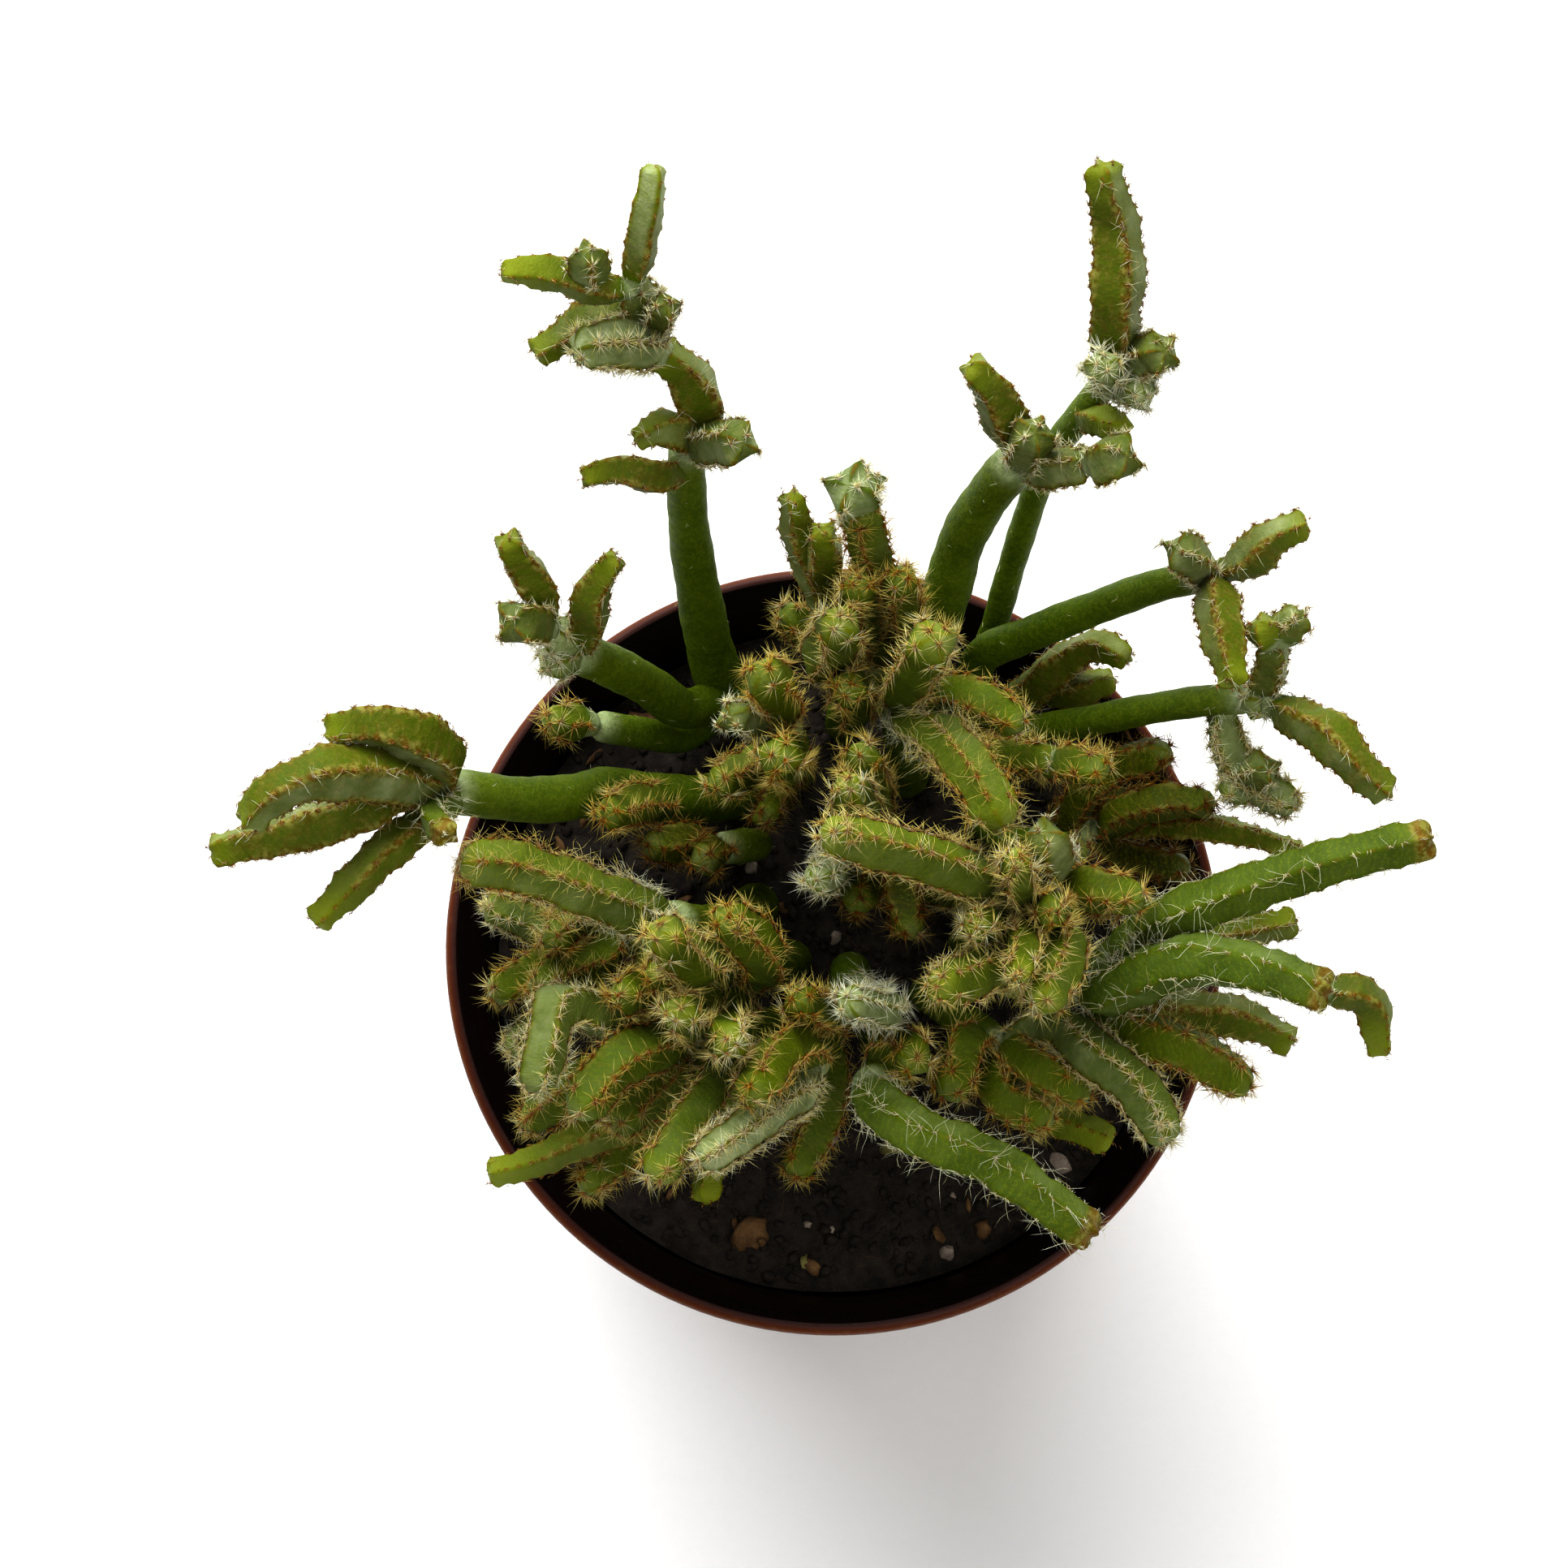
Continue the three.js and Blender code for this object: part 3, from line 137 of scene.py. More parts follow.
# The rooted stems, each with the place of its root on the soil. The lines under a stem are its shoots in the order
# they grow: name, parent, how far up the parent it starts, kind, dress, first and last radius, and the points that
# its centre line runs through. A shoot without a parent comes out of the soil.
STEM_TABLE = """
back_left -11 28
  trunk - 0 stem bare 3 1.9: -13 31 75, -14.5 36 87, -15.5 41.5 99, -15.5 46.5 111
  elbow trunk 1 joint toothed 2 2.1: -14 49 115, -15 51 119, -18 53 123
  broad elbow 1 hairy waxy 2.3 2.3: -21 52.5 128, -26 50.5 131
  crown elbow 1 joint crown 2 1.8: -18.5 55 127, -20 56 132
  top crown 1 twig pale 1.5 1.6: -19.5 59 135, -18.5 63 139, -18 66 141
  long_left crown 1 twig young 1.7 1.6: -24 56 134, -28 57 135, -33 57 136
  spur long_left 0.35 twig crown 1.6 1.6: -24.5 58 139
  lower_left crown 0.5 twig toothed 1.6 1.7: -24 56 124, -27 55 122, -30.5 53 121
  nub crown 0.4 twig crown 1.3 1.3: -17.5 54.5 134
  low_arm trunk 0.93 twig toothed 1.4 1.6: -18.5 43 111, -22 43.5 112, -26 42.5 113
  mid_arm trunk 1 twig toothed 1.8 1.5: -17.5 46.5 117, -20.5 45 118
  right_arm trunk 1 joint crown 1.8 2.1: -12 45 117, -9.5 43.5 122
  upper_trunk trunk 0.02 stem bare 2.3 2.3: -16 25.5 77, -20 26.5 86, -24 27 94, -27.5 27 101
  upper_neck upper_trunk 1 joint tufted 2.1 2.2: -28.5 28 106
  upper_left upper_neck 1 joint crown 1.9 2.2: -31 28 110, -33 27 114
  upper_top upper_neck 1 twig toothed 1.5 1.8: -31 31.5 111, -32.5 33.5 114, -33.5 35 117
  upper_right upper_trunk 0.97 twig toothed 1.5 1.8: -26.5 29.5 108, -24.5 32 111, -22.5 34 113
  upper_pale upper_trunk 0.95 hairy tufted 1.8 1.8: -30 25.5 104
  low_trunk trunk 0.01 stem bare 1.6 1.8: -16.5 24 73, -21 23 78, -26 23 82
  low_tip low_trunk 1 twig golden 1.8 1.8: -28.5 23 84, -31 22.5 87
back_right 8 29
  trunk - 0 stem bare 2.9 2.3: 10 31 79, 12 35.5 91, 13.5 39.5 100, 16 42 109, 18.5 43.5 116
  left_arm trunk 1 twig toothed 1.7 1.9: 17 46 121, 15.5 48 125, 13 50 128
  knob trunk 1 hairy crown 1.9 2: 19.5 43.5 126
  right_arm trunk 1 twig crown 1.8 1.8: 22 41.5 120, 25 41 123
  right_tip right_arm 1 joint crown 1.9 2.3: 28.5 40.5 128
back_thin 15.5 30.5
  trunk - 0 stem bare 1.5 1.5: 17.5 34 78, 19 38.5 89, 20.5 42.5 99, 22 46 107, 25 48.5 115, 28 50.5 121
  yellow_arm trunk 0.86 twig young 1.4 1.5: 27 47.5 120, 29 47.5 124
  tall trunk 1 joint toothed 1.9 2.2: 28 52.5 127, 27.5 55.5 131, 27.5 59 133, 27 62.5 135, 26 64.5 138, 25.5 66.5 140
  white_left trunk 1 hairy tufted 1.8 1.9: 26.5 49 131
  white_right trunk 1 hairy crown 1.8 1.9: 30 50 128, 31.5 50 131
  white_low trunk 1 hairy tufted 1.8 1.8: 30 47.5 127
right_upper 16 23.5
  trunk - 0 stem bare 2.2 1.7: 16 30.5 81, 21 31.5 89, 27.5 32.5 97, 33.5 33 105, 38.5 33 110
  square_arm trunk 0.97 twig crown 1.6 1.8: 36.5 33 115, 34 33.5 119
  out_arm trunk 1 twig toothed 1.5 1.7: 41.5 33.5 113, 44.5 35.5 116, 47.5 36.5 117
  down_arm trunk 1 twig toothed 1.6 1.9: 38.5 27.5 116, 39 22.5 119, 39.5 19 120
  mid_trunk trunk 0.04 stem bare 1.8 1.6: 21 23 79, 26.5 22 88, 32.5 21.5 97, 38.5 21 104, 42.5 20.5 107
  hub mid_trunk 1 hairy tufted 1.9 1.9: 44 19.5 110
  far_arm hub 1 twig toothed 1.7 1.9: 47 17 113, 49.5 15 115, 52.5 11.5 115, 55.5 9.5 113
  fork_arm hub 0.3 twig crown 1.7 1.7: 44 22.5 112, 44 24.5 115
  fork_right fork_arm 1 twig crown 1.5 1.6: 46.5 27 118
  fork_left fork_arm 1 twig toothed 1.5 1.6: 42 26 118
  low_arm mid_trunk 0.93 twig waxy 1.8 1.9: 40.5 18 102, 42 14 101, 44.5 12 102, 47.5 10 103
  low_right low_arm 0.55 twig crown 1.5 1.6: 44 13.5 107
  low_left low_arm 0.6 hairy frosted 1.6 1.6: 40.5 11.5 99
  short_trunk trunk 0.02 twig toothed 1.7 1.8: 21 27 77, 25 29.5 84, 28.5 30.5 88, 31.5 28.5 90
  short_arm short_trunk 0.4 twig toothed 1.5 1.7: 26.5 27 81, 30.5 28 83
left -10.5 18
  trunk - 0 stem bare 2.9 2.3: -15.5 15.5 78, -24 14 89, -32 11.5 99, -40 11 107
  bud trunk 0.3 twig golden 1.7 1.8: -24 10 99
  arch trunk 1 joint toothed 2 2.2: -41 13.5 114, -45 15 119, -51 14.5 119
  middle trunk 1 joint toothed 2 2.2: -45.5 11 116, -51 10 121, -56 7.5 122, -58.5 5 120
  long_low trunk 1 joint toothed 1.8 2.1: -49.5 7.5 111, -56.5 5 113, -63 3.5 113
  young trunk 0.98 twig young 1.6 1.9: -43.5 7.5 108, -48 2 109, -53 -3 108
  link trunk 0.98 twig woolly 1.5 1.5: -40.5 6.5 113, -38.5 4 116
low_left -10.5 12
  trunk - 0 stem bare 1.8 1.8: -8.5 10.5 78, -12.5 9 84
  arm trunk 1 twig dusky 1.8 1.9: -16.5 9 88, -20.5 9 91
  tip trunk 1 twig dusky 1.8 1.9: -14 6 93
left_long -8.5 5.5
  trunk - 0 stem bare 2.5 2.6: -10 2 80, -13.5 -0.5 89, -17.5 -1.5 97
  long trunk 1 hairy mixed 2.8 2.6: -22.5 -0.5 104, -28 1 109, -33.5 2.5 111, -38.5 3 112
  low_trunk trunk 0.1 stem bare 2 2: -17.5 0.5 77, -25 -1.5 82
  low_a low_trunk 1 joint golden 2 2: -32 -4.5 86, -36.5 -7.5 88
  low_b low_trunk 1 hairy frosted 1.9 1.9: -32 1 84, -37.5 3 84
  low_c low_trunk 0.9 twig golden 1.8 1.8: -28 -1.5 90, -29.5 -2.5 96
  low_d low_trunk 0.9 hairy frosted 1.9 1.9: -30 -9 84, -34.5 -13.5 85
  low_e low_trunk 0.8 twig golden 1.9 1.9: -27 -5.5 89, -31.5 -8 94
  low_f low_trunk 0.6 twig golden 1.9 1.9: -24.5 -5 85, -26.5 -7.5 90
left_front -4.5 -0.5
  trunk - 0 stem bare 2.2 2.2: -7.5 -3.5 79, -12.5 -7 91
  bright trunk 1 joint bright 2.2 2.4: -14 -7.5 105, -16 -6.5 113, -18 -5.5 119
  brown trunk 0.8 joint golden 2.1 2.2: -9 -5.5 101, -11.5 -2 109
  knob_a trunk 1 joint bright 2 2: -15 -11.5 105, -16 -13 114
  knob_b trunk 0.9 joint bright 2 2.1: -11 -13.5 103, -10.5 -16 113
  star trunk 1 twig golden 1.8 1.8: -19 -8.5 99, -23 -10 104
  star_up trunk 1 twig golden 1.6 1.7: -19 -8 105
front_left -2.5 -7.5
  trunk - 0 stem bare 2.3 2.3: -7.5 -10 80, -15.5 -12.5 92
  upright trunk 1 joint frosted 2 2.2: -24 -10.5 99, -28.5 -11 104, -29.5 -15.5 106, -30.5 -20 105
  wide trunk 1 joint golden 2.2 2.3: -22 -16 101, -27 -22 103
  short trunk 0.95 joint golden 2 2.1: -19.5 -18 92, -23 -22.5 95
  steep trunk 0.8 joint bright 2.1 2.3: -13 -19 97, -16 -24 101, -19 -28.5 102
  smooth_arm trunk 0.9 twig young 1.8 1.8: -20 -19.5 83, -26.5 -22.5 86, -31.5 -25 87, -36.5 -26.5 88
  low_arm trunk 0.7 twig golden 1.8 1.9: -20 -21.5 79, -27 -27.5 83
  low_tip trunk 0.5 twig young 1.8 1.8: -12.5 -21 76, -14 -28.5 78
  tail trunk 1 twig golden 1.8 1.8: -26.5 -16.5 89, -33 -21 84
front_mid 2 -2
  trunk - 0 stem bare 2.3 2.2: 1 -10.5 82, -1.5 -15.5 93
  long_arm trunk 1 twig waxy 1.8 1.9: -6 -20.5 101, -10.5 -24.5 105, -14 -27 106
  top_arm trunk 0.9 joint golden 2 2.1: -6.5 -16 105, -9 -21 111
  low_arm trunk 0.4 joint golden 1.9 2.2: -1.5 -20 79, -4.5 -26 80
  tuft trunk 0.2 hairy tufted 1.8 1.7: 5.5 -11 99, 1 -11.5 112
  brown trunk 0.5 twig golden 1.8 1.9: -2.5 -11 97, -4 -10 105
front_long 5 -8.5
  trunk - 0 stem bare 2.3 2.4: 4 -13.5 83, 2 -17.5 94
  long trunk 1 hairy woolly 2.4 2.5: 8 -23.5 102, 16 -27.5 106, 22 -32 107, 25.5 -34.5 106
  brown trunk 0.7 joint golden 1.9 2: 7 -13.5 95, 8 -16.5 102
front_right 10.5 -4.5
  trunk - 0 stem bare 2 2: 14.5 -9 77, 17.5 -13 87
  pale trunk 0.9 joint golden 2.1 2.1: 17.5 -17.5 91, 23 -20.5 93
  smooth_arm trunk 0.6 twig young 1.8 1.9: 22 -18 77, 30 -22 78
  ridge trunk 1 joint golden 2 2.1: 22 -16 94, 26 -19.5 96
  down trunk 1 joint frosted 2.1 2.3: 25 -14 96, 30.5 -18.5 101, 34 -24.5 101
  brown trunk 0.8 joint golden 2 2.1: 14 -15 91, 11.5 -19 94
right_front 15.5 1.5
  trunk - 0 stem bare 2.4 2.4: 20.5 -2.5 80, 27 -6.5 90
  bow trunk 1 joint golden 2.3 2.3: 31 -13 97, 36.5 -15 100, 42.5 -19 100
  low_bow trunk 0.9 joint toothed 2 2: 34.5 -9.5 90, 42.5 -10.5 92, 48 -13 91
  big trunk 1 hairy woolly 2.5 2.6: 30.5 -7 103, 36 -7 110, 42 -8.5 113, 49 -11 113
  big_tip big 0.97 twig young 1.6 1.8: 53 -11 111, 55 -16 106
  long trunk 1 hairy woolly 2.4 2.4: 32 -4 101, 35 -2 107, 42 0 113, 50 2 117, 59 4 118
  stub trunk 0.95 twig toothed 1.7 1.8: 38.5 -2.5 93, 48 -1 97
right_low 16.5 15
  trunk - 0 stem bare 1.9 1.8: 21 10.5 78, 28 11 85
  thin trunk 1 twig toothed 1.3 1.3: 34 11 89, 41.5 9.5 92, 49 7 94
  arm trunk 1 twig dusky 1.7 1.8: 33.5 13.5 93, 40 11.5 96
  upper trunk 0.8 twig dusky 1.8 1.9: 30.5 15.5 91, 35.5 16 95
  lower trunk 0.9 twig dusky 1.8 1.9: 32.5 8 85, 38 6 87
  middle trunk 0.6 twig dusky 1.8 1.9: 28.5 14.5 81, 34 13.5 82
tuft_back 1.5 26.5
  trunk - 0 stem bare 2.3 2.2: 3 26.5 83, 3 26.5 97
  high_left trunk 1 twig toothed 1.5 1.7: -1 32 103, -3 36 111, -4.5 40 115
  high_spur high_left 0.55 twig toothed 1.5 1.6: -2 36.5 116
  high_neck trunk 1 twig golden 1.8 1.9: 4 32 108, 3 35 117, 2 37 123
  high_crown high_neck 1 joint hoary 2 2.5: 1 37.5 128
  high_bud high_neck 1 twig hoary 1.2 1.3: 3.5 38.5 127
  disc trunk 1 joint bright 2.1 2.4: 1 26.5 109, 0 25.5 120
  upper_a trunk 1 twig golden 1.7 1.8: 3 28.5 109, 2.5 30 118
  upper_b trunk 1 twig golden 1.7 1.8: 5 28.5 109, 6.5 30.5 120
  side trunk 0.6 twig golden 1.7 1.8: -2.5 31 92, -5.5 32.5 96
  front trunk 0.8 twig golden 1.8 1.9: 1 20.5 112
tuft_left -4 21
  trunk - 0 stem bare 2.1 2.1: -4.5 20 81, -5.5 19.5 95
  tall trunk 1 joint golden 2.1 2.3: -6.5 19.5 109, -7.5 20.5 120
  tall_side tall 0.4 twig crown 1.5 1.6: -10.5 17 116
  disc trunk 0.9 joint golden 2 2.2: -5.5 15 107, -6 12 118
  ball trunk 0.5 twig golden 1.6 1.8: -9.5 17 87, -12.5 14 95
  low trunk 0.4 twig dusky 1.5 1.5: -7.5 10.5 93
tuft_top 8.5 20.5
  trunk - 0 stem bare 2.4 2.4: 8 18.5 87, 7 20 103
  disc trunk 1 joint bright 2.2 2.6: 8 21.5 115, 9.5 22.5 127
  long trunk 1 hairy mixed 2.4 2.5: 11 14 116, 14.5 8 122, 16.5 3.5 122
  side trunk 1 joint golden 2 2.1: 13.5 19.5 111, 19 16.5 113
  right_arm trunk 0.5 joint golden 1.9 2: 15.5 17.5 94, 23 14.5 104
  right_tip right_arm 0.9 joint golden 1.8 2: 27.5 13 108
tuft_right 12 8
  trunk - 0 stem bare 2.3 2.3: 16.5 3.5 85, 18.5 -0.5 103
  grey trunk 1 joint crown 2.1 2.2: 20.5 2 113, 20.5 4.5 118
  up trunk 1 twig bright 1.5 1.6: 17.5 -0.5 118, 17 1 127
  down trunk 1 twig bright 1.5 1.6: 18.5 -6 118, 17.5 -11 123
  tip_left trunk 1 twig bright 1.5 1.6: 15.5 -4 115, 13 -5.5 122
  tip_right trunk 1 hairy golden 1.5 1.6: 20.5 -4.5 120
  over trunk 0.9 joint bright 2.1 2.2: 13.5 0 119, 6 1 127, -2 2.5 130
  lower_a trunk 0.85 joint bright 2 2.2: 17.5 -5.5 109, 13 -10 119, 9 -12 123
  lower_b - 0 joint bright 2.1 2.3: 22.5 -5.5 113, 21.5 -9.5 118, 19.5 -13.5 121
  right_arm trunk 0.9 joint golden 2 2.1: 24 0.5 108, 31 -1 111
  bud trunk 0.8 twig dusky 1.5 1.6: 25.5 5.5 105
tuft_mid 1.5 13
  trunk - 0 stem bare 2.2 2.1: 4 10.5 81, 4.5 9.5 93
  far_tip trunk 1 joint golden 1.9 2: 3 12 105, 2.5 14 113
  near_tip trunk 1 joint bright 1.8 2: 2.5 8.5 107, 1 9.5 118
  left_tip trunk 0.9 twig tufted 1.8 1.9: 0.5 4.5 100, -2.5 1.5 107
  down_a trunk 0.9 joint dusky 1.9 2: 6 3 99, 8 -3.5 102
  down_b trunk 0.9 twig dusky 1.8 1.9: 2.5 0.5 100
"""


def read_dresses(table):
    """The numbers of each row of the table, by the words of its first line."""
    head, *rows = table.strip().splitlines()
    return {name: dict(zip(head.split(), map(float, numbers))) for name, *numbers in map(str.split, rows)}


def read_stems(table):
    """The root of every stem, and its shoots in the order they grow."""
    stems = {}
    for row in table.strip().splitlines():
        start, _, through = row.partition(": ")
        if not through:
            stem, *root = start.split()
            stems[stem] = dict(root=[float(size) for size in root], shoots=[])
            continue
        name, parent, share, kind, dress, first, last = start.split()
        points = [[float(size) for size in spot.split()] for spot in through.split(",")]
        stems[stem]["shoots"].append(dict(name=name, parent=parent, share=float(share), kind=kind, dress=dress,
                                          first=float(first), last=float(last), through=points))
    return stems


DRESSES = read_dresses(DRESS_TABLE)
STEMS = read_stems(STEM_TABLE)


# ---- How the plant grows ----


def curve_points(through, places):
    """Points of the smooth centripetal curve through the given points, at places from 0 to 1."""
    through = np.asarray(through, float)
    ends = np.array([2 * through[0] - through[1], *through, 2 * through[-1] - through[-2]])
    spans = len(through) - 1
    spot = np.clip(places, 0, 1) * spans
    first = np.minimum(spot.astype(int), spans - 1)
    share = (spot - first)[:, None]
    a, b, c, d = (ends[first + k] for k in range(4))
    before, here, after = (np.sqrt(np.linalg.norm(q - p, axis=1))[:, None] for p, q in ((a, b), (b, c), (c, d)))
    start = ((b - a) / before - (c - a) / (before + here) + (c - b) / here) * here
    end = ((c - b) / here - (d - b) / (here + after) + (d - c) / after) * here
    square = 3 * (c - b) - 2 * start - end
    cube = 2 * (b - c) + start + end
    return b + share * (start + share * (square + share * cube))


def curve_lengths(through):
    places = np.linspace(0, 1, 201)
    steps = np.linalg.norm(np.diff(curve_points(through, places), axis=0), axis=1)
    return places, np.concatenate([[0], np.cumsum(steps)])


def spaced(through, steps):
    """Evenly spaced points of the curve through the given points."""
    places, lengths = curve_lengths(through)
    return curve_points(through, np.interp(np.linspace(0, lengths[-1], steps + 1), lengths, places))


def nearest_whole(value):
    return math.floor(value + 0.5)


def start_point(plant, line, share):
    """The point that lies the given share of the way from the soil, or from the shoot's start, to its tip."""
    low = next(i for i, point in enumerate(line) if not plant["rooted"][point])
    return line[nearest_whole(low + (len(line) - 1 - low) * share)]


def grow_centre_lines():
    """The centre line of every shoot, as numbers of points that know their neighbours."""
    plant = dict(at=[], radius=[], stem=[], rooted=[], links=[])
    shoots = []
    for number, (stem, grown_from) in enumerate(STEMS.items()):
        root = grown_from["root"]
        grown = {}
        for row in grown_from["shoots"]:
            parent = grown.get(row["parent"])
            if parent:
                line = [start_point(plant, parent["line"], row["share"])]
                course = [plant["at"][line[0]]] + row["through"]
            else:
                line = []
                course = [[*root, ROOT_Z], [*root, SOIL_TOP + 1]] + row["through"]
            steps = max(2, nearest_whole(curve_lengths(course)[1][-1] / SAMPLE_STEP))
            for i, place in enumerate(spaced(course, steps)):
                if parent and i == 0:
                    continue
                line.append(len(plant["at"]))
                plant["at"].append(place)
                plant["radius"].append(row["first"] + (row["last"] - row["first"]) * i / steps)
                plant["stem"].append(number)
                plant["rooted"].append(not parent and place[2] < SOIL_TOP + 2)
            plant["links"] += zip(line, line[1:])
            grown[row["name"]] = dict(row, stem=stem, line=line, turn=len(shoots))
            shoots.append(grown[row["name"]])
    return {key: np.array(value) for key, value in plant.items()}, shoots


def steps_between(plant):
    """How many samples of stem lie between every two points of one stem."""
    count = len(plant["at"])
    steps = np.zeros((count, count), np.int16)
    beside = [[] for _ in range(count)]
    for one, other in plant["links"]:
        beside[one].append(other)
        beside[other].append(one)
    for start in range(count):
        seen = {start}
        edge = [start]
        far = 0
        while edge:
            steps[start, edge] = far
            edge = [link for point in edge for link in beside[point] if link not in seen and not seen.add(link)]
            far += 1
    return steps


def bend_clear(plant):
    """Bends shoots that would touch clear of each other. A push is shared along the stem."""
    at, radius, rooted, links = plant["at"], plant["radius"], plant["rooted"], plant["links"]
    one, other = np.triu_indices(len(at), 1)
    same = plant["stem"][one] == plant["stem"][other]
    widths = radius[one] + radius[other]
    need = widths + np.where(same, FORK_CLEARANCE, CLEARANCE)
    past_fork = steps_between(plant)[one, other] * SAMPLE_STEP > FORK_REACH * widths
    near = np.linalg.norm(at[one] - at[other], axis=1) < need + FURTHEST_BEND
    kept = (~same | past_fork) & near
    one, other, need = one[kept], other[kept], need[kept]
    degree = np.bincount(links.ravel(), minlength=len(at))[:, None]
    floor = SOIL_TOP + SOIL_BUMP + radius + CLEARANCE
    for _ in range(BEND_ROUNDS):
        away = at[one] - at[other]
        apart = np.linalg.norm(away, axis=1)
        short = apart < need
        away = away[short] * ((need - apart) / 2 / np.maximum(apart, 0.01))[short, None]
        push = np.zeros_like(at)
        np.add.at(push, one[short], away)
        np.add.at(push, other[short], -away)
        low = ~rooted & (at[:, 2] < floor) & (np.hypot(at[:, 0], at[:, 1]) < RIM_RADIUS)
        push[low, 2] += (floor - at[:, 2])[low] / 2
        for _ in range(SHARE_PASSES):
            mean = np.zeros_like(at)
            np.add.at(mean, links[:, 0], push[links[:, 1]])
            np.add.at(mean, links[:, 1], push[links[:, 0]])
            push = np.where(rooted[:, None], 0, (mean / degree + push) / 2)
        at += push


# ---- The flesh of a shoot ----

PLANT_SEED = 11
ROWS_PER_BEAD = 4
ROUND_STEP = 0.9
ROUND_SIDES = 20
RIB_OFFSETS = (-0.5, -0.2, 0, 0.2, 0.5)    # points of one rib, from valley to valley
CREST = 2                                  # which of them is the crest
CREST_WIDTH = 0.4
CREST_EDGE = 1.7
TOOTH_WIDTH = 0.24                         # of the space from areole to areole
DOME_STEPS = (0.3, 0.55, 0.78, 0.93)
BURIED = 4
TWIST = 0.35
NECK_LENGTH = 5
PLUMP = 1.1
BARE_FOOT = 2
BROWN_TIP = 1.2                            # how far rust is let off from the tip, in radii
SCORCH_LENGTH = 3
BLUNT_LENGTH = 1.4                         # in radii, as the next two are
LIFT_LENGTH = 1.3
FELT_LENGTH = 0.8
FELT = 0.003                               # how pale each bristle of a tuft makes the tip
MOST_FELT = 100
TOP_WAX = 0.1

# Waves over a shoot: how deep they are, how fast they go up it and round it, and how much each shoot shifts them.
WAVES = {
    "trunk swell": (0.025, 0.6, 0, 1),
    "trunk ripple": (0.015, 1.7, 0, 0),
    "joint swell": (0.04, 0.9, 0, 1),
    "wander": (0.07, 1.7, 1.9, 1),
    "lumps": (0.09, 1.1, 2, 1.3),
    "puckers": (0.05, 3.1, 3, 2.3),
    "bloom_and_sheen": (0.3, 1.3, 0, 1),
}


def unit(vectors):
    return vectors / np.maximum(np.linalg.norm(vectors, axis=-1, keepdims=True), 1e-9)


def ease(share):
    share = np.clip(share, 0, 1)
    return share * share * (3 - 2 * share)


def wave(name, turn, up, around=0):
    depth, pace, sweep, shift = WAVES[name]
    return depth * np.sin(up * pace + around * sweep + turn * shift)


def together(*values):
    """Three values of every point as one list of marks."""
    return np.stack(np.broadcast_arrays(*values), -1)


def frames_along(path, turn, twist):
    """The direction along a path, and two directions across it that don't spin, apart from the twist."""
    along = unit(np.gradient(path, axis=0))
    side = np.array([math.cos(turn * GOLDEN_ANGLE), math.sin(turn * GOLDEN_ANGLE), 0.3])
    sides = []
    for direction in along:
        side = side - direction * (side @ direction)
        side = side / np.linalg.norm(side)
        sides.append(side)
    sides = np.array(sides)
    across = np.cross(along, sides)
    spin = np.linspace(0, twist, len(path))[:, None]
    return along, sides * np.cos(spin) + across * np.sin(spin), across * np.cos(spin) - sides * np.sin(spin)


def radius_along(shoot, far, share, length):
    """The radius up a shoot: a narrow neck, a plump middle and a narrower end, none of them quite even."""
    kind, dress, turn = KINDS[shoot["kind"]], DRESSES[shoot["dress"]], shoot["turn"]
    radius = shoot["first"] + (shoot["last"] - shoot["first"]) * share
    if not kind["ribs"]:
        return radius * (1 + wave("trunk swell", turn, far) + wave("trunk ripple", turn, far))
    radius = radius * (kind["neck"] + (1 - kind["neck"]) * ease(far / min(NECK_LENGTH, 0.45 * length)))
    radius = radius * PLUMP * (1 + dress["plump"] * np.sin(share * math.pi) ** 1.5)
    radius = radius * (1 + wave("joint swell", turn, far))
    return radius * (1 - (1 - dress["end"]) * ease((share - 0.5) / 0.5))


def points_round(ribs):
    """The points round a shoot: each one's rib, offset from the crest, angle, closeness to the crest and bulge."""
    if not ribs:
        flat = np.zeros(ROUND_SIDES)
        return flat.astype(int), flat, np.arange(ROUND_SIDES) * 2 * math.pi / ROUND_SIDES, flat, flat + 1
    rib = np.repeat(np.arange(ribs), len(RIB_OFFSETS))
    offset = np.tile(RIB_OFFSETS, ribs)
    bulge = np.exp(-((np.abs(offset) / CREST_WIDTH) ** CREST_EDGE))
    return rib, offset, (rib + offset / 2) * 2 * math.pi / ribs, 1 - 2 * np.abs(offset), bulge


